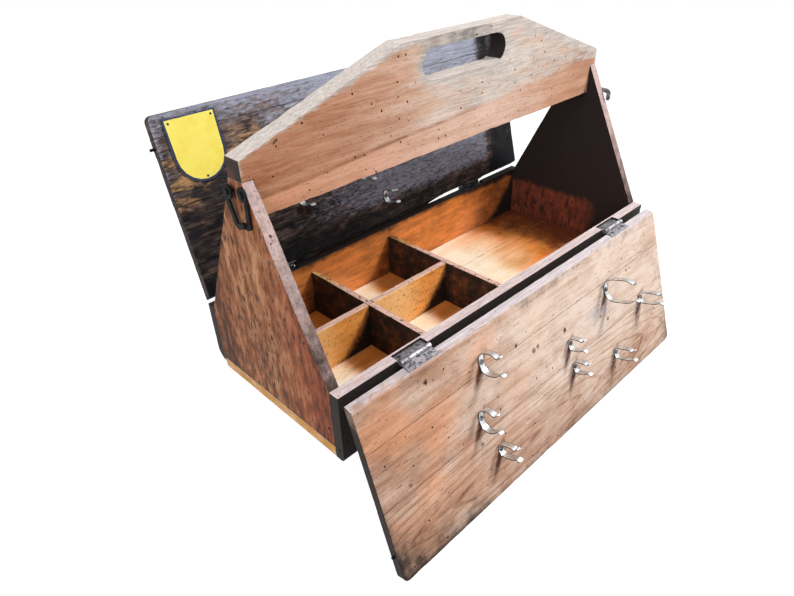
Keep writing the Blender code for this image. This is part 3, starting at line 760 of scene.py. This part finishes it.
END_TONES = ((0.075, 0.024, 0.011), (0.292, 0.1, 0.04), (0.53, 0.265, 0.138))
RAIL_TONES = ((0.22, 0.085, 0.036), (0.4, 0.17, 0.078), (0.56, 0.28, 0.15))
BASE_TONES = ((0.7, 0.4, 0.12), (0.88, 0.73, 0.5), (0.94, 0.87, 0.71))
HANDLE_TONES = ((0.295, 0.112, 0.05), (0.58, 0.375, 0.27), (0.78, 0.69, 0.62))
DIVIDER_TONES = ((0.42, 0.15, 0.04), (0.76, 0.38, 0.11), (0.92, 0.64, 0.3))
FRONT_TONES = ((0.215, 0.102, 0.06), (0.52, 0.345, 0.256), (0.74, 0.615, 0.535))
REAR_TONES = ((0.01, 0.009, 0.011), (0.05, 0.038, 0.037), (0.165, 0.116, 0.098))
REAR_SHEEN = (0.33, 0.355, 0.45)
GOLD = (0.4, 0.235, 0.11)
DEEP_RED = (0.33, 0.07, 0.034)
RUBBED = (0.72, 0.47, 0.39)

# Scars, knots and nail stains on the inside of the lids: x, distance along, radius and darkness
FRONT_MARKS = (
    (-0.184, 0.0154, 0.0024, 0.95), (-0.0513, 0.0432, 0.0022, 0.85), (0.183, 0.0495, 0.0022, 0.7),
    (0.191, 0.0501, 0.0016, 0.7), (-0.0243, 0.0626, 0.003, 0.7), (-0.0164, 0.0612, 0.0026, 0.7),
    (0.0357, 0.0663, 0.0028, 0.9), (0.1267, 0.0941, 0.0024, 0.9), (0.1114, 0.0829, 0.002, 0.7),
    (-0.2327, 0.1003, 0.0024, 0.6), (-0.2478, 0.18, 0.0046, 0.75), (-0.132, 0.1189, 0.0024, 0.7),
    (0.21, 0.165, 0.0018, 0.6),
)
REAR_MARKS = (
    (-0.1324, 0.0521, 0.005, 0.9), (-0.1225, 0.0489, 0.0045, 0.9), (-0.1285, 0.06, 0.0032, 0.8),
)
# Nail holes in the left end board's slanted edge: place, radius and darkness
END_HOLES = (
    (Vector((-0.2639, -0.0322, 0.2083)), 0.0012, 0.95), (Vector((-0.2659, -0.0349, 0.2031)), 0.0011, 0.9),
)
# Larger worm holes in the handle's front: x, z, radius and darkness
HANDLE_HOLES = (
    (-0.2323, 0.2768, 0.0013, 0.95), (-0.2343, 0.2754, 0.0012, 0.95), (-0.2323, 0.2726, 0.001, 0.9),
)
HANDLE_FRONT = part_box("handle_board")[0].y
CATHEDRAL = (-0.075, 0.158, -0.01)  # where the rings of the front lid's last plank close, in lid terms

# Streaks of rust and painted shadow start below a clip's screw and run down and to the left, where the clips'
# shadows fall
STREAK_START = (-0.004, 0.0085)
STREAK_LEAN = radians(38)
STREAK_WIDE = 0.006
STREAK_NARROW = 0.22


def on_lid(lid, marks):
    return [(lid.point(x, along), *rest) for x, along, *rest in marks]


def clip_rust_and_shadow(lid):
    """Directions, places and half width of the streaks of rust and painted shadow below a lid's clips."""
    down = lid.along * cos(STREAK_LEAN) - X * sin(STREAK_LEAN)
    across = lid.along * sin(STREAK_LEAN) + X * cos(STREAK_LEAN)
    middles = [middle_of(clip) for clip in lid.clips]
    x, drop = STREAK_START
    places = [lid.point(m.x + x, (m - lid.origin).dot(lid.along) + drop) for m in middles]
    return (down * STREAK_NARROW, across, lid.away), places, STREAK_WIDE


def plank_seams(lid):
    """The planes between a lid's planks."""
    ends = [max(v.co.dot(lid.along) for v in mesh_of(plank).vertices) for plank in lid.planks[:2]]
    return [(lid.along, end + JOINT_GAP / 2) for end in ends]


# What the two materials of the dividers share
DIVIDER_LOOK = dict(speck_size=0.0034, wear=RUBBED, scuff_size=(0.006, 0.003))
# How the growth rings of the front lid's planks lie
FRONT_RINGS = [
    dict(pith=FRONT.point(0.5, 0.03, -0.06), taper=0.04, rings=0.06),
    dict(pith=FRONT.point(0.5, 0.08, -0.06), taper=0.04, rings=0.06),
    dict(pith=FRONT.point(*CATHEDRAL), taper=0.13, rings=0.24, ring_from=0.72),
]

end_wood = [
    wood(f"end_wood_{end}", 2, END_TONES, seed, pith=(0.2, 0.05, 0), marks=END_HOLES, flecks=0.95,
         fleck_size=(0.013, 0.0036), fleck_from=0.545, mottle=0.6, rings=0.06, hole_axes=(1, 2), holes=0.08,
         warm=DEEP_RED, specks=0.5)
    for end, seed in (("left", 3.0), ("right", 8.0))
]
rail_wood = wood(
    "rail_wood", 0, RAIL_TONES, 5.0, pith=(0, 0.08, 0.1), flecks=0.4, specks=0.4, warm=(0.72, 0.235, 0.05),
    wear=(0.64, 0.53, 0.53), mottle=0.55, mottle_size=(0.04, 0.012), fibres=0.24, blotches=0.5,
    speck_size=0.0036,
)
base_wood = wood(
    "base_wood", 0, BASE_TONES, 11.0, pith=(0.1, 0.02, -0.12), flecks=0.2, blotches=0.2,
    blotch=(0.74, 0.42, 0.14), warm=(0.8, 0.215, 0.012), grime=(0.12, 0.03, 0.01), mottle=0.34,
    mottle_size=(0.06, 0.02), fibres=0.2, seams=((Y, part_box("base_plank_front")[1].y + JOINT_GAP / 2),),
)
handle_wood = wood(
    "handle_wood", 0, HANDLE_TONES, 17.0, pith=(-0.05, 0.06, 0.24), ring_space=0.009, rings=0.05,
    streaks=0.18, streak_size=(0.25, 0.008), mottle=0.2, mottle_size=(0.07, 0.022), fibres=0.2, flecks=0.25,
    holes=0.19, hole_cell=0.0115, warm=(0.6, 0.235, 0.11), wear=(0.62, 0.56, 0.52), scuff_size=(0.022, 0.01),
    marks=[(Vector((x, HANDLE_FRONT, z)), *rest) for x, z, *rest in HANDLE_HOLES], blotches=0.12,
    crack=(BAND_SLOPE, BAND_LEVEL + 0.002, 0.004, 0.1, -0.08),
)
cross_wood = wood(
    "cross_divider_wood", 1, DIVIDER_TONES, 23.0, pith=(0.05, 0, -0.05), flecks=0.6, specks=0.8,
    speck_from=0.55, warm=(0.62, 0.18, 0.04), **DIVIDER_LOOK,
)
long_wood = wood(
    "long_divider_wood", 0, DIVIDER_TONES, 29.0, pith=(0, 0.06, -0.05), flecks=0.3, specks=0.6,
    speck_from=0.57, mottle=0.5, mottle_size=(0.04, 0.015), fibres=0.2, warm=(0.78, 0.3, 0.06),
    **DIVIDER_LOOK,
)
front_lid_wood = [
    wood(f"front_lid_wood_{index}", 0, FRONT_TONES, 31.0 + 7 * index, holes=0.16, flecks=0.45, streaks=0.22,
         mottle=0.3, streak_size=(0.25, 0.006), mottle_size=(0.05, 0.024), fibres=0.18,
         wear=(0.6, 0.54, 0.57), scuff_size=(0.01, 0.004), ring_warp=1.1, specks=0.45,
         marks=on_lid(FRONT, FRONT_MARKS), rust=clip_rust_and_shadow(FRONT), seams=plank_seams(FRONT), seam=0.55,
         blotches=0.45, blotch=(0.33, 0.15, 0.085), warm=(0.72, 0.31, 0.15), **FRONT_RINGS[index])
    for index in range(3)
]
rear_lid_wood = [
    wood(f"rear_lid_wood_{index}", 0, REAR_TONES, 61.0 + 7 * index, pith=REAR.point(0.4, 0.05 * index, 0.08),
         wear=REAR_SHEEN, blotches=0.5, blotch=(0.02, 0.02, 0.026), flecks=0.6, fleck_size=(0.03, 0.0025),
         warm=GOLD, grime=(0.009, 0.01, 0.012), relief=0.7, mottle=0.6, mottle_size=(0.016, 0.005),
         scuff_size=(0.0075, 0.0024), fibres=0.4, seam=0.35, broken=True, specular=0.06,
         marks=on_lid(REAR, REAR_MARKS), seams=plank_seams(REAR))
    for index in range(3)
]

board("left_end_board", "box", end_wood[0], paint_end, seed=1)
board("right_end_board", "box", end_wood[1], paint_end, seed=2)
board("front_rail", "box", rail_wood, paint_front_rail, seed=3)
board("rear_rail", "box", rail_wood, paint_rear_rail, seed=4)
board("base_plank_front", "box", base_wood, paint_base, cell=0.007, seed=5, seal=Y)
board("base_plank_rear", "box", base_wood, paint_base, cell=0.007, seed=6)
board("handle_board", "box", handle_wood, paint_handle, rounding=0.0044, chips=0.0022, seed=7)
for seed, node, material in (
    (8, "cross_divider_left", cross_wood), (9, "cross_divider_right", cross_wood),
    (10, "long_divider_left", long_wood), (11, "long_divider_middle", long_wood),
):
    board(node, "box", material, paint_divider, rounding=0.0009, seed=seed)
for lid, materials, paint, slot in (
    (FRONT, front_lid_wood, paint_front_lid, "front_lid_wood"),
    (REAR, rear_lid_wood, paint_rear_lid, "rear_lid_wood"),
):
    for number, plank in enumerate(lid.planks):
        board(plank, lid.body, materials[number], paint, axes=(X, lid.along, lid.away), cell=0.006,
              seed=12 + number, seal=lid.along if number < 2 else None)

# A thin dark strip on the outside of the rear lid that shuts the slit over the rail, in two lengths, standing
# for the shade in the slit
LIP_SPANS = ((-0.255, -0.1955), (-0.1545, 0.112))
LIP_ON, LIP_PAST, LIP_THICK, LIP_CLEAR = 0.012, 0.0045, 0.0013, 0.0006
LIP_CELL = 0.006


def build_shade_lip():
    bm = bmesh.new()
    edge = REAR.outer_edge
    high = edge + LIP_ON
    for start, stop in LIP_SPANS:
        rings = []
        for x in np.linspace(start, stop, round((stop - start) / LIP_CELL)):
            taper = ease(stop - x, 0, 0.05) if stop == LIP_SPANS[-1][1] else 1.0
            tip = edge - LIP_PAST * (1 - 0.9 * (1 - taper)) + 0.0004 * noise.noise(Vector((x * 60, 0, 0)))
            corners = (
                (high, 0), (edge + LIP_CLEAR, 0), (edge, -LIP_CLEAR),
                (tip, -LIP_CLEAR), (tip + 0.003, -LIP_THICK), (high, -LIP_THICK),
            )
            rings.append([bm.verts.new(REAR.point(x, a, -REAR.thick + h)) for a, h in corners])
        loft(bm, rings)
    count = len(bm.verts)
    # Painted shade: the strip is dark all over
    shades = {**plain(count), "grime": np.full(count, 0.55)}
    make_piece("rear_lid_shade_lip", bm, REAR.body, [rear_lid_wood[0]], attributes=shades)


build_shade_lip()


# Fittings

bright_steel = metal("bright_steel", (0.8, 0.82, 0.82), (0.48, 0.5, 0.51), (0.12, 0.08, 0.06), 0.63, 0.3)
TARNISH = ((0.04, 0.024, 0.016), 0.55, 0.45)
# Dark steel that paints shade on the clips' narrow edges
edge_shade_steel = metal("edge_shade_steel", (0.1, 0.1, 0.1), (0.03, 0.029, 0.028), *TARNISH)
hinge_steel = metal("hinge_steel", (0.46, 0.46, 0.5), (0.22, 0.215, 0.24), (0.05, 0.034, 0.028), 0.5, 0.42)
dark_hinge_steel = metal("dark_hinge_steel", (0.1, 0.1, 0.11), (0.045, 0.043, 0.046), *TARNISH)
black_iron = metal(
    "black_iron", (0.01, 0.01, 0.011), (0.005, 0.005, 0.005), (0.022, 0.013, 0.008), 0.62, 0.55,
    metallic=0.0, specular=0.12,
)
screw_steel = metal("screw_steel", (0.26, 0.26, 0.28), (0.05, 0.049, 0.05), (0.05, 0.03, 0.02), 0.52, 0.36)
yellow_enamel = enamel("yellow_enamel", (0.85, 0.76, 0.155), (0.8, 0.66, 0.09))
blue_enamel = enamel("blue_enamel", (0.016, 0.034, 0.09), (0.01, 0.022, 0.06))

# Widths of round edges
HINGE_ROUND, HOOK_ROUND, PIVOT_ROUND, PIN_ROUND = 0.00025, 0.0006, 0.0004, 0.0003


def softened(node, body, material, width, spread=0):
    """A fitting's own shape with small round edges, spread a little in the plane across the box."""
    bm = clean_mesh(node)
    bm.normal_update()
    for v in bm.verts:
        move = Vector((0, v.normal.y, v.normal.z))
        if spread and move.length > 0.1:
            v.co += move.normalized() * spread
    bevel(bm, sharp_edges(bm, radians(35)), width, 2)
    drop_slivers(bm)
    make_piece(f"{node}_metal", bm, body, [material], [node])


def stand(spot, up, turn=0):
    """A place on a surface, with Z off it."""
    spin = Matrix.Rotation(turn, 4, "Z")
    return Matrix.Translation(spot) @ up.to_track_quat("Z", "X").to_matrix().to_4x4() @ spin


def dome_head(radius, rise, slot_width=0, slot_depth=0):
    """A round screw or nail head that stands on Z = 0, with a screwdriver slot if it has a width."""
    bm = bmesh.new()
    sides, rings = 20, 5
    loops = []
    for ring in range(rings):
        angle = pi / 2 * ring / rings
        out, up = radius * cos(angle), rise * sin(angle)
        turns = [2 * pi * i / sides for i in range(sides)]
        loops.append([bm.verts.new((out * cos(turn), out * sin(turn), up)) for turn in turns])
    skirt = [bm.verts.new((v.co.x, v.co.y, -rise * 0.5)) for v in loops[0]]
    loft(bm, [skirt, *loops])
    crown = ops.poke(bm, faces=bm.faces[-1:])
    crown["verts"][0].co.z = rise
    if slot_width:
        for side in (-1, 1):
            slice_at(bm, Y * (side * slot_width / 2), Y, 1e-7)
        bm.normal_update()
        strip = [f for f in bm.faces if abs(f.calc_center_median().y) < slot_width / 2 and f.normal.z > 0.05]
        made = ops.extrude_face_region(bm, geom=strip)
        sunk = [v for v in made["geom"] if isinstance(v, bmesh.types.BMVert)]
        ops.translate(bm, verts=sunk, vec=(0, 0, -slot_depth))
        ops.delete(bm, geom=strip, context="FACES")
    return to_mesh("head", bm)


def stamped(name, body, material, stamps):
    """One piece from copies of small meshes: (mesh, place) pairs."""
    bm = bmesh.new()
    for mesh, place in stamps:
        before = len(bm.verts)
        bm.from_mesh(mesh)
        bm.verts.ensure_lookup_table()
        ops.transform(bm, matrix=place, verts=bm.verts[before:])
    make_piece(name, bm, body, [material])


# Radius and rise of each head, and width and depth of its slot
clip_screw = dome_head(0.003, 0.0019, 0.0008, 0.0011)
hinge_screw = dome_head(0.0027, 0.0006, 0.0008, 0.0005)
nail_head = dome_head(0.0017, 0.0005)
tack_head = dome_head(0.0013, 0.0007)

# Spring clips: a bent strip of steel
CLIP_THICK = 0.0008
CLIP_SEAT = 0.006
CLIP_CLOSE, CLIP_FLARE = radians(50), radians(35)
CLIP_LIP = 0.005
CLIP_GAP = 0.0003  # between the strip and the lid
CLIP_SECTION = (
    (-1, -0.6), (-0.85, -1), (0.85, -1), (1, -0.6), (1, 0.6), (0.85, 1), (-0.85, 1), (-1, 0.6),
)
CLIP_EDGE = 0.8  # the strip's edges beyond this share of its half width are dark with painted shade
CLIP_END_WIDTHS = (0.55, 0.8, 0.92, 0.98)


def clip_path(width, height):
    """The middle line of a clip's strip, as distance along the lid from its screw and height off the lid."""
    jaw = (width - CLIP_THICK) / 2
    seat = CLIP_SEAT / 2
    bend = jaw - seat
    low = CLIP_GAP + CLIP_THICK / 2
    rise = CLIP_LIP * cos(CLIP_FLARE)
    centre = height - CLIP_THICK / 2 - rise - jaw * sin(CLIP_CLOSE)
    half = [(0.0, low), (seat * 0.5, low)]
    half += [(seat + bend * sin(a), low + bend * (1 - cos(a))) for a in np.linspace(0, pi / 2, 12)]
    first = 0 if centre > low + bend else 1
    half += [(jaw * cos(a), centre + jaw * sin(a)) for a in np.linspace(0, CLIP_CLOSE, 10)[first:]]
    last = half[-1]
    out = CLIP_LIP * sin(CLIP_FLARE)
    half += [(last[0] + out * s, last[1] + rise * s) for s in (0.2, 0.45, 0.7, 0.85, 0.95, 1.0)]
    for _ in range(3):  # eases the bend where the lip turns out
        triples = zip(half, half[1:], half[2:])
        half[1:-1] = [tuple(0.25 * a + 0.5 * b + 0.25 * c for a, b, c in zip(*triple)) for triple in triples]
    return [(-along, away) for along, away in reversed(half[1:])] + half


def build_clip(lid, node):
    points = np.array([v.co for v in mesh_of(node).vertices])
    along = lid.reach(points)
    left, right = points[:, 0].min(), points[:, 0].max()
    x = (left + right) / 2
    path = clip_path(along.max() - along.min(), lid.height(points).max())
    middle = (along.max() + along.min()) / 2
    bm = bmesh.new()
    rings = []
    last = len(path) - 1
    for i, (a, h) in enumerate(path):
        before, after = path[max(i - 1, 0)], path[min(i + 1, last)]
        run = Vector((after[0] - before[0], after[1] - before[1])).normalized()
        end = min(i, last - i)
        wide = (right - left) / 2 * (CLIP_END_WIDTHS[end] if end < len(CLIP_END_WIDTHS) else 1)
        lifts = [(x + across * wide, thick * CLIP_THICK / 2) for across, thick in CLIP_SECTION]
        spots = [lid.point(place, middle + a - run.y * lift, h + run.x * lift) for place, lift in lifts]
        rings.append([bm.verts.new(spot) for spot in spots])
    # Painted shade on the strip's narrow edges
    for i, face in enumerate(loft(bm, rings)):
        one, two = [CLIP_SECTION[k % len(CLIP_SECTION)][0] for k in (i, i + 1)]
        face.material_index = int(one * two > CLIP_EDGE)
    make_piece(f"{node}_strip", bm, lid.body, [bright_steel, edge_shade_steel], [node])
    return lid.point(x, middle, CLIP_GAP + CLIP_THICK)


for lid in (FRONT, REAR):
    seats = [build_clip(lid, node) for node in lid.clips]
    stamps = [(clip_screw, stand(seat, lid.away, 0.9 * number)) for number, seat in enumerate(seats)]
    stamped(f"{lid.label}_clip_screws", lid.body, screw_steel, stamps)

SCREW_SPREAD = 0.0125  # from the middle of a hinge to its screws


def leaf_screws(node, solid, seed):
    """Places of the two screws in a hinge leaf, on its face away from what it is screwed to."""
    bm = clean_mesh(node)
    under = middle_of(solid)
    broad = sorted(bm.faces, key=lambda face: face.calc_area())[-2:]
    face = max(broad, key=lambda face: face.normal.dot(face.calc_center_bounds() - under))
    spot, up = face.calc_center_bounds(), face.normal.copy()
    bm.free()
    return [(hinge_screw, stand(spot + X * side * SCREW_SPREAD, up, seed + 1.3 * side)) for side in (-1, 1)]


for lid, steel, screws in (
    (FRONT, hinge_steel, screw_steel), (REAR, dark_hinge_steel, dark_hinge_steel),
):
    rail_stamps, lid_stamps = [], []
    for number, end in enumerate(("left", "right")):
        label = f"{lid.label}_hinge_{end}"
        for part, body in (("rail_leaf", "box"), ("lid_leaf", lid.body), ("pin", "box")):
            softened(f"{label}_{part}", body, steel, HINGE_ROUND)
        rail_stamps += leaf_screws(f"{label}_rail_leaf", f"{lid.label}_rail", number)
        lid_stamps += leaf_screws(f"{label}_lid_leaf", lid.planks[0], number + 0.6)
    stamped(f"{lid.label}_rail_screws", "box", screws, rail_stamps)
    stamped(f"{lid.label}_lid_screws", lid.body, screws, lid_stamps)

GREY_HOOK = "right_front_hook"  # this one has lost its black
HOOK_SPREAD = 0.0009  # forged hooks swell a little past their plain outline

for node in sorted(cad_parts):
    if node.endswith("_hook"):
        iron = hinge_steel if node == GREY_HOOK else black_iron
        softened(node, f"hook_{node.removesuffix('_hook')}", iron, HOOK_ROUND, HOOK_SPREAD)
    elif node.endswith("_hook_pivot"):
        softened(node, "box", black_iron, PIVOT_ROUND)
    elif "_latch_pin_" in node:
        softened(node, f"{node.split('_')[0]}_lid", black_iron, PIN_ROUND)

# Nails: two low at the front of the left end, and two through each end of both rails
FRONT_RAIL_Y, REAR_RAIL_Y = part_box("front_rail")[0].y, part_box("rear_rail")[1].y
END_NAILS = ((-0.1038, 0.0118), (-0.0915, 0.032))  # y and z
NAIL_HEIGHTS = (0.022, 0.06)
NAIL_INSET = 0.006
nails = [(nail_head, stand(Vector((END_LOW.x, y, z)), -X)) for y, z in END_NAILS]
for end in (1, -1):
    for height in NAIL_HEIGHTS:
        x = end * (END_LOW.x + NAIL_INSET)
        nails.append((nail_head, stand(Vector((x, FRONT_RAIL_Y, height)), -Y)))
        nails.append((nail_head, stand(Vector((x, REAR_RAIL_Y, height)), Y)))
stamped("rail_nails", "box", black_iron, nails)

PLATE_EDGE, PLATE_RIM = 0.0006, 0.002
FIELD_SLOPE, FIELD_RISE = 0.0006, 0.0002
TACK_INSET = 0.0052


def build_plate():
    """The bare enamel plate: a yellow field in a dark rim, held by tacks."""
    bm = clean_mesh("name_plate")
    points = np.array([v.co for v in bm.verts])
    along, x, top = REAR.reach(points), points[:, 0], REAR.height(points).max()
    front = max(bm.faces, key=lambda f: f.calc_area() if f.normal.dot(REAR.away) > 0.9 else 0)
    for face in bm.faces:
        face.material_index = 1
    ops.inset_region(bm, faces=[front], thickness=PLATE_EDGE)
    ops.inset_region(bm, faces=[front], thickness=PLATE_RIM)
    front.material_index = 0
    ops.inset_region(bm, faces=[front], thickness=FIELD_SLOPE, depth=FIELD_RISE)
    make_piece("bare_plate", bm, REAR.body, [yellow_enamel, blue_enamel], ["name_plate"])
    high, low = along.max() - TACK_INSET, along.min() + TACK_INSET
    spots = (
        (x.min() + TACK_INSET, high), (x.max() - TACK_INSET, high), ((x.min() + x.max()) / 2, low),
    )
    tacks = [(tack_head, stand(REAR.point(*spot, top), REAR.away)) for spot in spots]
    stamped("plate_tacks", REAR.body, black_iron, tacks)


build_plate()


# Stage, light and camera

FLOOR_LEVEL = cad_box[0].z - 0.002
PLINTH = ((-0.15, -0.075), (0.23, 0.085))  # corners of the block that holds the base up, in plan
PLINTH_TOP = -0.0008
FLOOR_COLOUR = (0.27, 0.27, 0.27)
FLOOR_LIFT = 0.88
AMBIENT = 0.42


def seen(n):
    """1 for what the camera sees, also in a mirror or through glass, and 0 for light alone."""
    path = n.add("LightPath").outputs
    return n.highest([path[f"Is {kind} Ray"] for kind in ("Camera", "Glossy", "Transmission")])


# A matt pale surface that keeps shadows, lifted a little where it is seen
pale = Surface("pale_stage")
pale.shade("Base Color", opaque(FLOOR_COLOUR))
pale.shade("Roughness", 1)
pale.shade("Specular IOR Level", 0)
pale.shade("Emission Color", (1, 1, 1, 1))
pale.shade("Emission Strength", pale.times(seen(pale), FLOOR_LIFT))


def stage_block(name, low, high):
    bm = bmesh.new()
    low, high = Vector(low), Vector(high)
    place = Matrix.Translation((low + high) / 2) @ Matrix.Diagonal((*(high - low), 1))
    ops.create_cube(bm, size=1, matrix=place)
    mesh = to_mesh(name, bm)
    mesh.materials.append(pale.material)
    to_scene(name, mesh)


stage_block("floor", (-6, -6, FLOOR_LEVEL - 0.01), (6, 6, FLOOR_LEVEL))
stage_block("plinth", (*PLINTH[0], FLOOR_LEVEL), (*PLINTH[1], PLINTH_TOP))

world = scene.world = bpy.data.worlds.new("studio")
world.use_nodes = True
sky = Nodes(world.node_tree)
background = sky.tree.nodes["Background"].inputs
sky.feed(background["Color"], (1, 1, 1, 1))
sky.feed(background["Strength"], sky.add("MapRange", {"Value": seen(sky), "To Min": AMBIENT}).outputs[0])

LIGHT_AIM = Vector((0, -0.03, 0.08))
for name, direction, distance, size, power, colour in (
    ("key", (0.5, -0.49, 0.716), 1.7, 0.38, 25, (1, 0.97, 0.94)),
    ("top_fill", (-0.15, -0.3, 0.94), 2.0, 1.4, 7, (1, 1, 1)),
    ("left_fill", (-0.9, -0.25, 0.35), 2.2, 1.6, 24, (1, 1, 1)),
    ("back_fill", (0.2, 0.9, 0.4), 2.2, 1.6, 10, (1, 1, 1)),
):
    lamp = bpy.data.lights.new(name, "AREA")
    lamp.shape, lamp.size = "DISK", size
    lamp.energy, lamp.color = power, colour
    holder = to_scene(name, lamp)
    holder.location = LIGHT_AIM + Vector(direction).normalized() * distance
    holder.rotation_euler = (LIGHT_AIM - holder.location).to_track_quat("-Z", "Y").to_euler()

CAMERA_PLACE = (-0.5011, -0.4371, 0.4409)
CAMERA_RIGHT = (0.7158, -0.69759, -0.0316)
CAMERA_UP = (0.40029, 0.37282, 0.83712)
CAMERA_BACK = (-0.57219, -0.61186, 0.5461)
optics = bpy.data.cameras.new("camera")
optics.sensor_fit = "HORIZONTAL"
optics.sensor_width = 36
optics.lens = 27.78
optics.clip_start = 0.01
camera = to_scene("camera", optics)
turn = Matrix((CAMERA_RIGHT, CAMERA_UP, CAMERA_BACK)).transposed().to_4x4()
camera.matrix_world = Matrix.Translation(CAMERA_PLACE) @ turn
scene.camera = camera
scene.view_settings.view_transform = "Standard"

bpy.context.view_layer.update()
